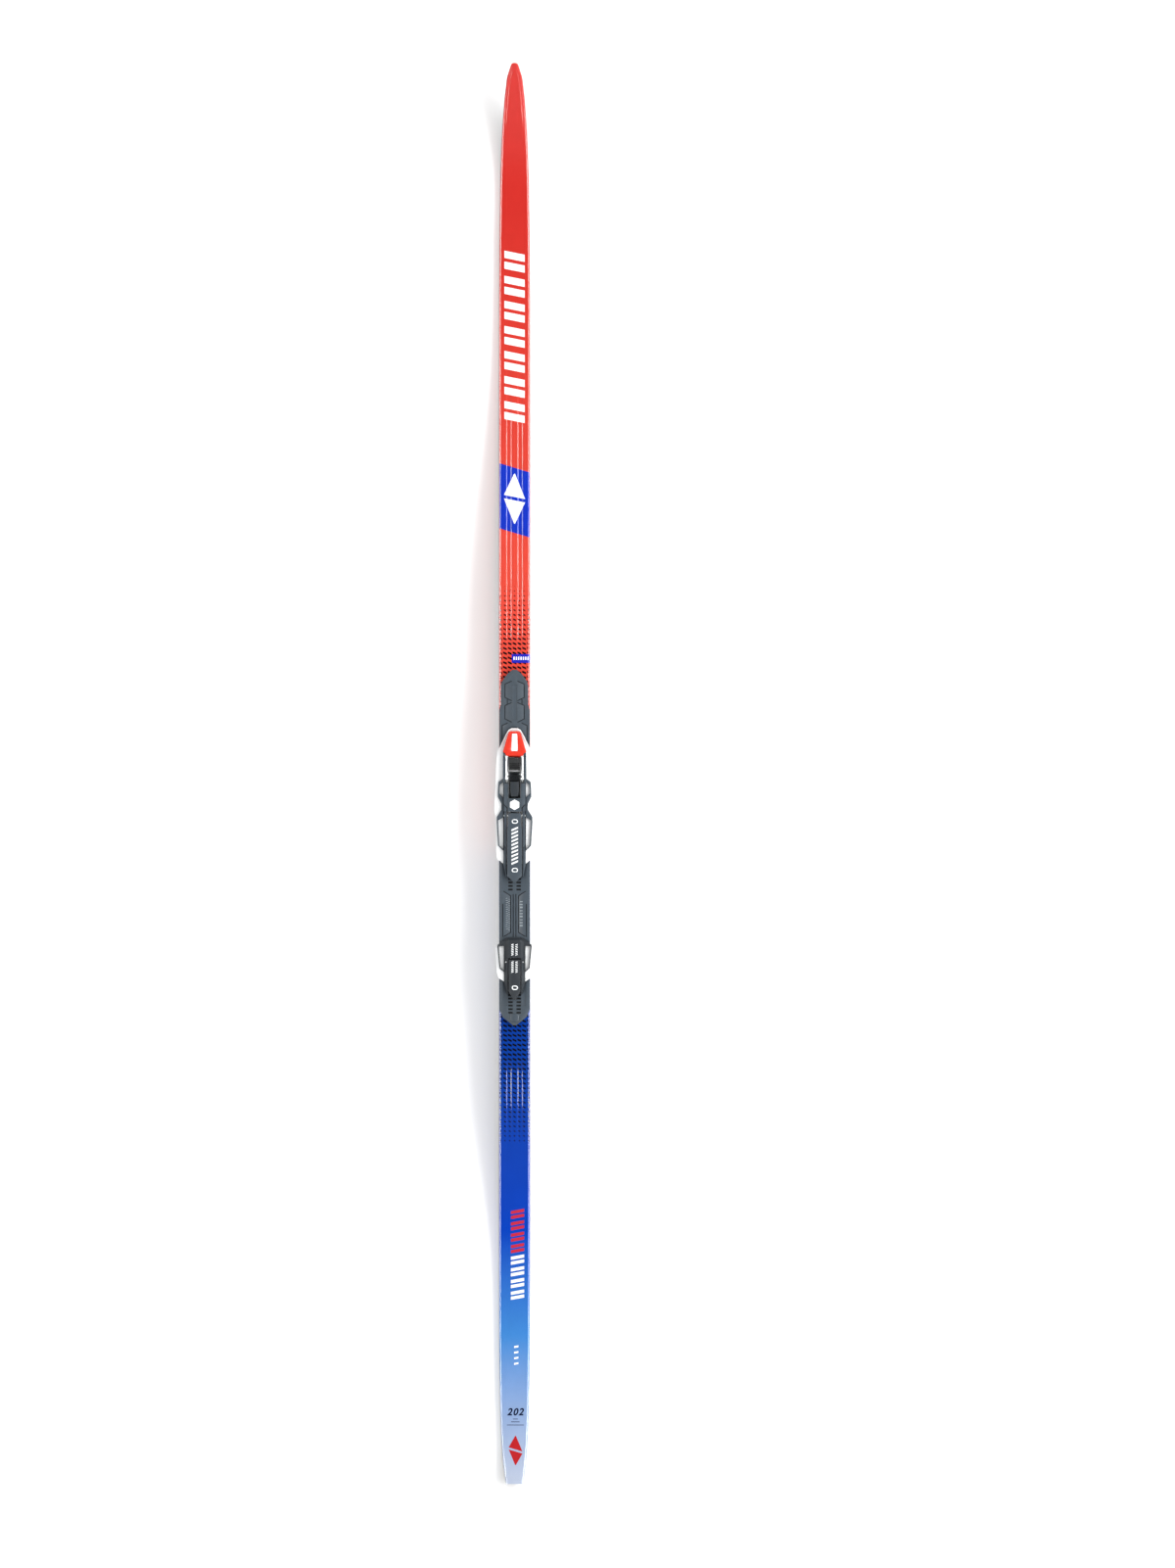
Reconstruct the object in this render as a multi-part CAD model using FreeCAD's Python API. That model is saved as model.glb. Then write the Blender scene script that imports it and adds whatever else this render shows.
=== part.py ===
import FreeCAD, Part
import math
import os

# Classic cross country ski with a skin base and a step-in toe bar binding on a rail plate.
# Millimetres. +Y runs to the tip, +Z is up, the floor is z = 0 and y = 0 is mid length.

V = FreeCAD.Vector

# Ski: driving dimensions
LENGTH = 2020.0
HALF_WIDTH = 22.0
CAMBER = 18.0
THICKNESS = 28.0
TIP_RISE = 62.0
TAIL_RISE = 10.0
FLAT_REAR = -375.0
FLAT_FRONT = 165.0
REAR_CONTACT = (-930.0, -700.0)
FRONT_CONTACT = (620.0, 815.0)
TIP_THICKNESS = 7.0
TAIL_THICKNESS = 8.0
CONTACT_THICKNESS = 10.0

BASE_SHEET = 1.2
LAMINATE = 0.8
CAP_WALL = 1.2
CAP_ROOF = 1.4
CAP_BEVEL = 1.8

# Distance from the end, half width there
TIP_OUTLINE = ((0, 4), (8, 7), (22, 11), (50, 14.2), (92, 17.4), (134, 19.1), (175, 20.3), (259, 21.4),
               (350, 22))
TAIL_OUTLINE = ((0, 12.3), (15, 14.2), (35, 16.5), (64, 18.9), (133, 20.7), (216, 21.7), (320, 22))

STATIONS = (-1010, -1002, -992, -975, -960, -930, -880, -794, -747, -700, -645, -590, -545, -522, -490, -460,
            -425, -400, -375, 155, 165, 215, 265, 320, 375, 430, 485, 540, 580, 620, 660, 715, 751, 815, 838,
            862, 885, 905, 925, 945, 960, 975, 988, 998, 1004, 1010)

# Top grooves and base groove
TOP_GROOVE = (3.4, 12.6)
TOP_GROOVE_DEPTH = 0.8
TOP_GROOVE_WALL = 2.6
BASE_GROOVE = (2.2, 3.2)
BASE_GROOVE_DEPTH = 0.8

# Skin in the kick zone
SKIN = (-230.0, 160.0)
SKIN_HALF = 17.5
SKIN_GAP = 0.3
SKIN_BACKING = 0.6
SKIN_PROUD = 0.4

# Rail plate
DECK = CAMBER + THICKNESS
PLATE_TOP = DECK + 5.0
RAIL_UNDER = DECK + 2.5
NECK_HALF = 18.0
RAIL_HALF = 21.8
PLATE_FRONT = 147.2
PLATE_REAR = -358.0
SLOT_PITCH = 5.0
SLOT_LENGTH = 2.5
SLOT_DEPTH = 2.6
SLOT_X = (2.6, 9.0)
TOE_SLOTS = (-165.0, -130.0)
HEEL_SLOTS = (-340.0, -295.0)
RELIEF = 1.3
RELIEF_WIDTH = 1.1

# Carriages
GAP = 0.3
SHEET_LOW = PLATE_TOP + GAP
SHEET_TOP = PLATE_TOP + 2.0
WING_TOP = SHEET_TOP + 3.0
RAIL_TOP = SHEET_TOP + 5.5
PAD_TOP = SHEET_TOP + 7.0

# Badge on the toe housing's bridge
BADGE_Y = -44.5
BADGE_R = 7.8
BADGE_DEPTH = 0.8

# Toe bar seat and jaws
BAR_Y = -6.0
BAR_Z = 61.0
BAR_R = 2.0
JAW_HALF = 7.5

# Lever mechanism
AXLE_Y = 28.0
AXLE_Z = 61.0
AXLE_R = 1.5
CRANK = 5.0
SWING = 60.0
CRANK_Y = AXLE_Y - CRANK * math.sin(math.radians(SWING / 2))
CRANK_Z = AXLE_Z - CRANK * math.cos(math.radians(SWING / 2))
CRANK_PIN_R = 1.3
ROD_X = 10.9
ROD_R = 1.7
EYE_HALF = 1.9
ROD_REAR = -12.7
JAW_PIN_Y = -1.8
JAW_PIN_R = 1.2
RUNNING = 0.05

# Locks: stored lifted clear of the plate's slots
TOE_TOOTH = -145.0
TOE_LOCK_Y = -60.0
TOE_LIFT = 1.3
HEEL_TOOTH = -310.0
HEEL_LOCK_Y = -268.0
HEEL_LIFT = 2.6
LOCK_PIN_Z = 56.0
LOCK_PIN_R = 1.2
TOOTH_TIP = PLATE_TOP - 1.5
TEETH_HALF = 8.0


# ---------------------------------------------------------------- helpers

def save(name, shape):
    if not shape.isValid() or shape.Volume <= 0:
        raise RuntimeError(name + " is not a valid solid")
    shape.exportStep("parts/" + name + ".step")
    print(name, len(shape.Solids), round(shape.Volume, 1))


def prism(points, low, high):
    """A vertical prism on an outline of (x, y) points."""
    corners = [V(x, y, low) for x, y in points]
    face = Part.Face(Part.makePolygon(corners + corners[:1]))
    return face.extrude(V(0, 0, high - low))


def profile(points, left, right):
    """A bar along X on a side profile of (y, z) points."""
    corners = [V(left, y, z) for y, z in points]
    face = Part.Face(Part.makePolygon(corners + corners[:1]))
    return face.extrude(V(right - left, 0, 0))


def box(left, right, rear, front, low, high):
    return Part.makeBox(right - left, front - rear, high - low, V(left, rear, low))


def bar(y, z, radius, left, right):
    """A round bar along X."""
    return Part.makeCylinder(radius, right - left, V(left, y, z), V(1, 0, 0))


def taper(lower, low, upper, high):
    """A solid whose outline goes straight from one polygon to another."""
    wires = []
    for outline, z in ((lower, low), (upper, high)):
        corners = [V(x, y, z) for x, y in outline]
        wires.append(Part.makePolygon(corners + corners[:1]))
    return Part.makeLoft(wires, True, True)


def both_sides(half):
    """The whole outline from its right half, listed from front to rear."""
    return list(half) + [(-x, y) for x, y in reversed(half)]


def mirror_pair(shape):
    return [shape, shape.mirror(V(0, 0, 0), V(1, 0, 0))]


def fused(shapes):
    whole = shapes[0].fuse(shapes[1:])
    return whole.removeSplitter()


def ease(value, start, end):
    """0 before start, 1 after end, and a cosine between."""
    part = min(max((value - start) / (end - start), 0.0), 1.0)
    return 0.5 - 0.5 * math.cos(math.pi * part)


def along(table, distance):
    """Straight interpolation in a table of (distance, value)."""
    for (d0, v0), (d1, v1) in zip(table, table[1:]):
        if distance <= d1:
            return v0 + (v1 - v0) * (distance - d0) / (d1 - d0)
    return table[-1][1]


# ---------------------------------------------------------------- ski body

def base_height(y):
    if y > FRONT_CONTACT[0]:
        rise = max(y - FRONT_CONTACT[1], 0.0) / (LENGTH / 2 - FRONT_CONTACT[1])
        return TIP_RISE * rise ** 2
    if y < REAR_CONTACT[1]:
        rise = max(REAR_CONTACT[0] - y, 0.0) / (LENGTH / 2 + REAR_CONTACT[0])
        return TAIL_RISE * rise ** 2
    front = ease(y, FLAT_FRONT, FRONT_CONTACT[0])
    rear = ease(-y, -FLAT_REAR, -REAR_CONTACT[1])
    return CAMBER * (1.0 - max(front, rear))


def thickness(y):
    if y >= 0:
        body = THICKNESS + (CONTACT_THICKNESS - THICKNESS) * ease(y, FLAT_FRONT, 715.0)
        return body + (TIP_THICKNESS - CONTACT_THICKNESS) * ease(y, 751.0, LENGTH / 2)
    body = THICKNESS + (CONTACT_THICKNESS - THICKNESS) * ease(-y, -FLAT_REAR, 794.0)
    return body + (TAIL_THICKNESS - CONTACT_THICKNESS) * ease(-y, 794.0, LENGTH / 2)


def half_width(y):
    tip = along(TIP_OUTLINE, LENGTH / 2 - y)
    tail = along(TAIL_OUTLINE, LENGTH / 2 + y)
    return min(tip, tail, HALF_WIDTH)


def groove_depth(y):
    front = ease(y, 155.0, 215.0) * (1.0 - ease(y, 485.0, 620.0))
    rear = ease(-y, 400.0, 425.0) * (1.0 - ease(-y, 460.0, 545.0))
    return TOP_GROOVE_DEPTH * max(front, rear)


def layer(section):
    """A ski layer: the section function gives (x, height) points at each station."""
    wires = []
    for y in STATIONS:
        corners = [V(x, y, z) for x, z in section(y)]
        wires.append(Part.makePolygon(corners + corners[:1]))
    return Part.makeLoft(wires, True, True)


def base_section(y):
    low = base_height(y)
    half = half_width(y)
    scale = half / HALF_WIDTH
    crest = BASE_GROOVE[0] * scale
    foot = BASE_GROOVE[1] * scale
    depth = BASE_GROOVE_DEPTH * (1.0 - 0.9 * ease(y, 751.0, 860.0))
    return [(half, low), (half, low + BASE_SHEET), (-half, low + BASE_SHEET), (-half, low),
            (-foot, low), (-crest, low + depth), (crest, low + depth), (foot, low)]


def lower_section(y):
    low = base_height(y) + BASE_SHEET
    half = half_width(y)
    return [(half, low), (half, low + LAMINATE), (-half, low + LAMINATE), (-half, low)]


def core_section(y):
    low = base_height(y) + BASE_SHEET + LAMINATE
    high = base_height(y) + thickness(y) - CAP_ROOF - LAMINATE
    half = half_width(y) - CAP_WALL
    return [(half, low), (half, high - 1.0), (half - 1.0, high), (1.0 - half, high), (-half, high - 1.0),
            (-half, low)]


def upper_section(y):
    """The laminate wrapped over the core's top, under the cap."""
    roof = base_height(y) + thickness(y) - CAP_ROOF
    under = roof - LAMINATE
    half = half_width(y) - CAP_WALL
    right = [(half - 1.0, under), (half, under - 1.0), (half, roof - 0.6), (half - 0.6, roof)]
    return right + [(-x, z) for x, z in reversed(right)]


def cap_section(y):
    foot = base_height(y) + BASE_SHEET + LAMINATE
    top = base_height(y) + thickness(y)
    half = half_width(y)
    scale = half / HALF_WIDTH
    near = TOP_GROOVE[0] * scale
    far = TOP_GROOVE[1] * scale
    wall = TOP_GROOVE_WALL * scale
    depth = groove_depth(y)
    roof = top - CAP_ROOF
    inner = half - CAP_WALL
    bevel = min(CAP_BEVEL, half / 4)
    right = [(inner, foot), (half, foot), (half, top - bevel), (half - bevel, top), (far, top),
             (far - wall, top - depth), (near + wall, top - depth), (near, top)]
    left = [(-x, z) for x, z in reversed(right)]
    inside = [(-inner, roof - 0.6), (0.6 - inner, roof), (inner - 0.6, roof), (inner, roof - 0.6)]
    return right + left + inside


def ski_layers():
    base = layer(base_section)
    pocket = box(-SKIN_HALF, SKIN_HALF, SKIN[0], SKIN[1], CAMBER - 1.0, CAMBER + BASE_SHEET)
    save("running_base", base.cut(pocket))
    save("lower_laminate", layer(lower_section))
    save("ski_core", layer(core_section))
    save("upper_laminate", layer(upper_section))
    save("top_cap", layer(cap_section))


def skin():
    half = SKIN_HALF - SKIN_GAP
    rear = SKIN[0] + SKIN_GAP
    front = SKIN[1] - SKIN_GAP
    glue = CAMBER + BASE_SHEET
    save("skin_backing", box(-half, half, rear, front, glue - SKIN_BACKING, glue))
    save("skin_pile", box(-half, half, rear, front, CAMBER - SKIN_PROUD, glue - SKIN_BACKING))


# ---------------------------------------------------------------- rail plate

def stroke(points, width, low, high):
    """A groove cutter that follows a polyline."""
    cutters = []
    for (x0, y0), (x1, y1) in zip(points, points[1:]):
        run = math.hypot(x1 - x0, y1 - y0)
        ux = (x1 - x0) / run * width / 2
        uy = (y1 - y0) / run * width / 2
        cutters.append(prism([(x0 - ux - uy, y0 - uy + ux), (x1 + ux - uy, y1 + uy + ux),
                              (x1 + ux + uy, y1 + uy - ux), (x0 - ux + uy, y0 - uy - ux)], low, high))
    return cutters


def plate_outline(half, tuck):
    """The plate's outline, tucked in at its two pointed ends."""
    front = PLATE_FRONT - tuck
    rear = PLATE_REAR + tuck
    waist = min(half, 19.6)
    return both_sides([(3.2, front), (10.5, front - 6.2), (17.1, front - 15.2), (waist, front - 22.0),
                       (waist, 97.0), (half, 90.0), (half, rear + 23.0), (min(half, 16.8), rear + 11.5),
                       (7.3, rear + 4.0), (2.5, rear)])


def ladder(limits):
    """Slot cutters in pairs, one pair every pitch."""
    cutters = []
    count = int(round((limits[1] - limits[0]) / SLOT_PITCH)) + 1
    for step in range(count):
        y = limits[0] + step * SLOT_PITCH
        one = box(SLOT_X[0], SLOT_X[1], y - SLOT_LENGTH / 2, y + SLOT_LENGTH / 2, PLATE_TOP - SLOT_DEPTH,
                  PLATE_TOP + 1)
        cutters += mirror_pair(one)
    return cutters


def plate_relief():
    """The moulded lines on the plate's open stretches, right-hand side first."""
    low = PLATE_TOP - RELIEF
    high = PLATE_TOP + 1
    lines = []
    for centre in (117.0, 86.5):
        lines.append([(4.6, centre + 14.0), (13.6, centre + 10.0), (13.6, centre - 9.0),
                      (4.6, centre - 13.5)])
    lines.append([(10.4, 105.0), (10.4, 98.5)])
    lines.append([(10.4, 71.5), (17.6, 68.0), (17.6, 48.0)])
    lines.append([(15.6, -167.5), (5.6, -174.0), (5.6, -226.0), (14.8, -231.5)])
    lines.append([(1.9, -172.0), (1.9, -232.0)])
    lines.append([(16.8, -186.0), (16.8, -232.0)])
    cutters = []
    for line in lines:
        for piece in stroke(line, RELIEF_WIDTH, low, high):
            cutters += mirror_pair(piece)
    channel = box(-3.6, 3.6, 76.0, 126.0, PLATE_TOP - 0.5, high)
    panels = mirror_pair(box(10.2, 16.0, -330.0, -297.0, PLATE_TOP - 0.4, high))
    return cutters + [channel] + panels


PLUG = both_sides([(3.4, -341.4), (6.6, -343.6), (6.6, -350.5), (3.0, -353.6)])


def plate():
    neck = prism(plate_outline(NECK_HALF, 3.0), DECK, RAIL_UNDER)
    rail = prism(plate_outline(RAIL_HALF, 0.0), RAIL_UNDER, PLATE_TOP)
    body = neck.fuse(rail).removeSplitter()
    cutters = ladder(TOE_SLOTS) + ladder(HEEL_SLOTS) + plate_relief()
    cutters.append(prism(PLUG, PLATE_TOP - 1.5, PLATE_TOP + 1))
    save("binding_plate", body.cut(cutters))
    small = [(x * 0.8, -347.5 + (y + 347.5) * 0.8) for x, y in PLUG]
    low = prism(PLUG, PLATE_TOP - 1.5, PLATE_TOP)
    save("plate_end_plug", fused([low, taper(PLUG, PLATE_TOP, small, PLATE_TOP + 0.7)]))


# ---------------------------------------------------------------- carriage flanges

def flange(outline, lips, nose):
    """A sheet over the plate with skirts and lips that hook under its rails."""
    sheet = prism(outline, SHEET_LOW, SHEET_TOP)
    rear, front = lips
    skirt_area = box(RAIL_HALF + GAP, 40, rear, front, DECK + GAP, SHEET_LOW)
    skirt = prism(outline, DECK + GAP, SHEET_LOW).common(skirt_area)
    lip = box(NECK_HALF + GAP, RAIL_HALF + GAP, rear, front, DECK + GAP, RAIL_UNDER - GAP)
    pieces = [sheet]
    for piece in (skirt, lip):
        pieces += mirror_pair(piece)
    return fused(pieces + nose)


TOE_FLANGE = both_sides([(4.5, 64.2), (8.6, 61.8), (12.3, 55.5), (21.6, 36.5), (24.7, 30.0), (26.2, 10.0),
                         (27.0, -20.0), (28.5, -45.0), (28.5, -52.0), (27.0, -65.0), (26.4, -95.0),
                         (26.0, -111.0), (25.0, -121.7), (21.3, -123.6), (15.3, -129.0)])
HEEL_FLANGE = both_sides([(9.0, -236.0), (23.5, -245.0), (26.6, -248.0), (25.0, -283.7), (22.7, -290.6),
                          (20.8, -292.0), (14.8, -295.9)])


def toe_flange():
    outer = both_sides([(4.5, 64.2), (8.6, 61.8), (12.3, 55.5), (19.9, 39.8)])
    inner = both_sides([(3.9, 62.6), (7.5, 60.7), (10.9, 54.8), (18.7, 38.8)])
    rim = prism(outer, SHEET_TOP, SHEET_TOP + 1.0)
    rim = rim.cut(prism(inner, SHEET_TOP - 1, SHEET_TOP + 2)).cut(box(-30, 30, 30, 40.2, 40, 70))
    save("toe_flange", flange(TOE_FLANGE, (-121.0, 28.0), [rim]))


def heel_flange():
    save("heel_flange", flange(HEEL_FLANGE, (-289.0, -250.0), []))


# ---------------------------------------------------------------- toe housing

def wing(outer, window):
    """A flat frame beside the body, with its window cut out."""
    frame = prism(outer, SHEET_TOP, WING_TOP)
    frame = frame.cut(prism(window, SHEET_TOP - 1, WING_TOP + 1))
    return mirror_pair(frame)


def toe_housing():
    pieces = []
    pieces += wing([(16.0, -7.0), (22.7, -11.6), (23.6, -22.0), (23.8, -33.0), (18.9, -43.0),
                    (16.0, -43.0)],
                   [(16.2, -12.4), (20.9, -16.0), (21.7, -22.0), (21.6, -28.6), (16.2, -33.8)])
    pieces += wing([(16.0, -43.0), (18.9, -43.0), (18.9, -51.7), (25.4, -62.0), (25.4, -70.0),
                    (23.5, -102.5), (16.0, -110.0)],
                   [(16.2, -62.6), (23.3, -66.8), (23.3, -71.0), (21.7, -102.0), (16.2, -107.8)])
    cheek = prism([(13.4, 31.0), (16.4, 31.0), (16.8, -6.0), (16.2, -14.0), (13.4, -14.0)],
                  SHEET_TOP, RAIL_TOP)
    # The rail behind the cheek leans in a little towards its top.
    block_low = [(8.9, -13.4), (16.2, -13.4), (16.2, -54.0), (8.9, -54.0)]
    block_top = [(8.9, -13.9), (15.0, -13.9), (15.0, -54.0), (8.9, -54.0)]
    rail_low = [(11.3, -50.0), (16.2, -50.0), (16.2, -129.0), (12.4, -147.0), (11.3, -147.0)]
    rail_top = [(11.3, -50.0), (14.4, -50.0), (14.4, -128.0), (11.8, -145.0), (11.3, -145.0)]
    side = [cheek, taper(block_low, SHEET_TOP, block_top, RAIL_TOP + 1.0),
            taper(rail_low, SHEET_TOP, rail_top, RAIL_TOP - 0.5)]
    head = bar(AXLE_Y, AXLE_Z, 3.0, 13.4, 16.4)
    stem = box(13.4, 16.4, AXLE_Y - 3.0, AXLE_Y + 3.0, SHEET_TOP, AXLE_Z)
    for piece in side + [head, stem]:
        pieces += mirror_pair(piece)
    bridge_low = both_sides([(9.5, -34.4), (9.5, -54.4)])
    bridge_top = both_sides([(9.5, -35.4), (9.5, -54.4)])
    pieces.append(taper(bridge_low, SHEET_TOP, bridge_top, PAD_TOP))
    body = fused(pieces)
    cuts = [bar(AXLE_Y, AXLE_Z, AXLE_R, -17, 17), bar(TOE_LOCK_Y, LOCK_PIN_Z, LOCK_PIN_R, -15.5, 15.5),
            prism(hexagon(BADGE_R), PAD_TOP - BADGE_DEPTH, PAD_TOP + 1)]
    front_line = [(15.2, -44.0), (10.6, -49.0), (10.6, -60.0), (15.2, -66.0)]
    steps = stroke(front_line, 1.2, RAIL_TOP - 0.3, PAD_TOP + 2)
    steps += stroke([(16.4, -101.0), (12.6, -106.0)], 1.2, RAIL_TOP - 1.3, PAD_TOP + 2)
    for piece in steps:
        cuts += mirror_pair(piece)
    save("toe_housing", body.cut(cuts))


def hexagon(radius):
    turns = [math.radians(60 * k) for k in range(6)]
    return [(radius * math.sin(turn), BADGE_Y + radius * math.cos(turn)) for turn in turns]


def toe_small_parts():
    save("toe_badge", prism(hexagon(BADGE_R - 0.2), PAD_TOP - BADGE_DEPTH, PAD_TOP + 0.2))
    save("lever_axle", bar(AXLE_Y, AXLE_Z, AXLE_R, -16.2, 16.2))
    save("toe_lock_pin", bar(TOE_LOCK_Y, LOCK_PIN_Z, LOCK_PIN_R, -15.4, 15.4))


def fixed_jaw():
    """The steel seat behind the toe bar, on a strap that runs back under its cover."""
    seat = profile([(BAR_Y + 0.1, SHEET_TOP), (BAR_Y + 0.1, 64.2), (-8.6, 64.2), (-10.3, 62.6),
                    (-10.3, 55.0), (-34.2, 55.0), (-34.2, SHEET_TOP)], -JAW_HALF, JAW_HALF)
    save("fixed_jaw", seat.cut(bar(BAR_Y, BAR_Z, BAR_R, -10, 10)))


def jaw_cover():
    lower = both_sides([(6.2, -10.6), (6.4, -24.0), (5.0, -33.8)])
    upper = both_sides([(5.8, -11.4), (6.0, -24.0), (4.6, -32.6)])
    save("jaw_cover", taper(lower, 55.0, upper, 62.2))


def flexor():
    """The rubber bumper the boot rolls against, free underneath at its rear end."""
    body = profile([(4.6, 58.8), (4.6, 63.6), (6.4, 64.6), (22.0, 62.4), (22.0, SHEET_TOP),
                    (10.2, SHEET_TOP), (10.2, 58.8)], -7.9, 7.9)
    ribs = [box(-9, 9, y, y + 1.3, 62.4, 66) for y in (7.4, 10.2, 13.0)]
    save("flexor", body.cut(ribs))


# ---------------------------------------------------------------- lever, rods and moving jaw

LEVER_FRONT = 60.2
LEVER_OUTLINE = [(8.4, 58.8), (16.9, 30.8), (11.5, 24.6)]


def lever():
    top = 65.0
    plan = both_sides([(5.2, LEVER_FRONT)] + LEVER_OUTLINE)
    small = both_sides([(4.6, LEVER_FRONT - 1.2), (7.4, 57.7), (15.7, 31.0), (10.8, 25.6)])
    shell = taper(plan, 62.6, small, top)
    skirt = prism(both_sides([(5.2, LEVER_FRONT), (8.4, 58.8), (16.4, 32.0), (12.9, 32.0)]), 56.4, 62.6)
    slope = profile([(20, 68), (20, top + 0.01), (34, top + 0.01), (70, 59.2), (70, 68)], -20, 20)
    blade = fused([shell, skirt]).cut(slope)
    hollow = both_sides([(5.0, 57.6), (12.2, 34.0)])
    blade = blade.cut(prism(hollow, 55, 59.4))
    hub_side = profile([(AXLE_Y - 3.2, AXLE_Z), (AXLE_Y - 3.2, 63.0), (37.0, 63.0), (34.0, 59.0),
                        (AXLE_Y + 3.0, AXLE_Z - 1.0), (CRANK_Y + 2.4, CRANK_Z - 1.0),
                        (CRANK_Y - 2.4, CRANK_Z)], -8.4, 8.4)
    lobe = bar(CRANK_Y, CRANK_Z, 2.6, -8.4, 8.4)
    whole = fused([blade, hub_side, lobe])
    room = [bar(AXLE_Y, AXLE_Z, 3.3, 13.0, 20.0), box(13.0, 20.0, AXLE_Y - 3.3, AXLE_Y + 3.3, 50, AXLE_Z)]
    cuts = [bar(AXLE_Y, AXLE_Z, AXLE_R + RUNNING, -9, 9), bar(CRANK_Y, CRANK_Z, CRANK_PIN_R, -9, 9),
            prism(INLAY, 61.8, 70)]
    for piece in room:
        cuts += mirror_pair(piece)
    save("lever", whole.cut(cuts))
    save("lever_inlay", lever_inlay())
    save("crank_pin", bar(CRANK_Y, CRANK_Z, CRANK_PIN_R, -12.9, 12.9))


INLAY = both_sides([(3.0, 56.4), (3.6, 55.6), (4.6, 32.6), (4.0, 31.7)])


def lever_inlay():
    """A plate in the lever's pocket, a little below the lever's sloping face."""
    above = [(20, 68), (20, 64.6), (34, 64.6), (56.5, 62.1), (70, 60.2), (70, 68)]
    return prism(INLAY, 61.8, 66).cut(profile(above, -20, 20))


def rods():
    """Two steel rods from the crank pin to the jaw, each with an eye, a cross hole and a clip."""
    right = [Part.makeCylinder(ROD_R, CRANK_Y - ROD_REAR, V(ROD_X, ROD_REAR, CRANK_Z), V(0, 1, 0)),
             bar(CRANK_Y, CRANK_Z, 2.4, ROD_X - EYE_HALF, ROD_X + EYE_HALF),
             bar(JAW_PIN_Y, CRANK_Z, 2.2, ROD_X - EYE_HALF, ROD_X + EYE_HALF),
             box(8.6, 13.1, -9.0, -5.0, CRANK_Z - 2.0, CRANK_Z + 2.0)]
    body = fused(right)
    body = body.cut(bar(CRANK_Y, CRANK_Z, CRANK_PIN_R + RUNNING, 5, 15))
    body = body.cut(bar(JAW_PIN_Y, CRANK_Z, JAW_PIN_R, 5, 15))
    shapes = mirror_pair(body)
    save("rod_right", shapes[0])
    save("rod_left", shapes[1])
    save("jaw_pin", bar(JAW_PIN_Y, CRANK_Z, JAW_PIN_R, -12.8, 12.8))


def moving_jaw():
    """The front jaw; its cross slot leaves the pin room to dip while the lever swings."""
    foot = SHEET_TOP + GAP
    body = profile([(BAR_Y + 0.3, foot), (BAR_Y + 0.3, 63.8), (-2.2, 63.8), (-1.2, 62.8), (-1.2, 58.4),
                    (2.2, 58.4), (2.2, foot)], -JAW_HALF, JAW_HALF)
    slot = box(-9, 9, JAW_PIN_Y - JAW_PIN_R - 0.2, JAW_PIN_Y + JAW_PIN_R + 0.2, 54.5, 58.1)
    save("moving_jaw", body.cut([slot, bar(BAR_Y, BAR_Z, BAR_R + RUNNING, -10, 10)]))


# ---------------------------------------------------------------- locks

def teeth(y):
    """Two steel teeth under a plate, made in the locked attitude."""
    plate_part = box(-TEETH_HALF, TEETH_HALF, y - 3.0, y + 3.0, PLATE_TOP + 1.4, PLATE_TOP + 2.4)
    tooth = box(SLOT_X[0] + 0.4, TEETH_HALF, y - 0.85, y + 0.85, TOOTH_TIP, PLATE_TOP + 1.4)
    return fused([plate_part] + mirror_pair(tooth))


def lifted(shape, pivot_y, angle):
    """Turn a lock part from the locked attitude to the stored one."""
    copy = shape.copy()
    copy.rotate(V(0, pivot_y, LOCK_PIN_Z), V(1, 0, 0), -angle)
    return copy


def lock(name, pivot, tooth_y, plan, side, angle):
    """A finger lever on a cross pin, with its teeth set in its underside."""
    blade = prism(plan, 40, 80).common(profile(side, -12, 12))
    comb = teeth(tooth_y)
    pocket = box(-TEETH_HALF, TEETH_HALF, tooth_y - 3.0, tooth_y + 3.0, 50, PLATE_TOP + 2.4)
    blade = blade.cut([pocket, bar(pivot, LOCK_PIN_Z, LOCK_PIN_R + RUNNING, -13, 13)])
    save(name + "_lever", lifted(blade, pivot, angle))
    save(name + "_teeth", lifted(comb, pivot, angle))


def locks():
    toe_plan = both_sides([(6.0, -55.0), (9.3, -58.5), (9.3, -74.0), (10.5, -77.0), (10.5, -145.8),
                           (1.2, -154.4)])
    toe_side = [(-55.0, 56.5), (-56.4, 59.4), (-58.0, 60.0), (-140.0, 60.0), (-155.0, 55.6), (-155.0, 52.4),
                (-132.0, 52.4), (-130.0, 53.9), (-58.5, 53.9)]
    lock("toe_lock", TOE_LOCK_Y, TOE_TOOTH, toe_plan, toe_side, TOE_LIFT)
    heel_plan = both_sides([(8.3, -263.0), (8.3, -310.0), (1.2, -322.0)])
    heel_side = [(-263.0, 57.0), (-265.0, 60.0), (-306.0, 60.0), (-322.0, 56.0), (-322.0, 52.4),
                 (-299.5, 52.4), (-297.5, 53.9), (-266.5, 53.9)]
    lock("heel_lock", HEEL_LOCK_Y, HEEL_TOOTH, heel_plan, heel_side, HEEL_LIFT)


# ---------------------------------------------------------------- heel

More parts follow.
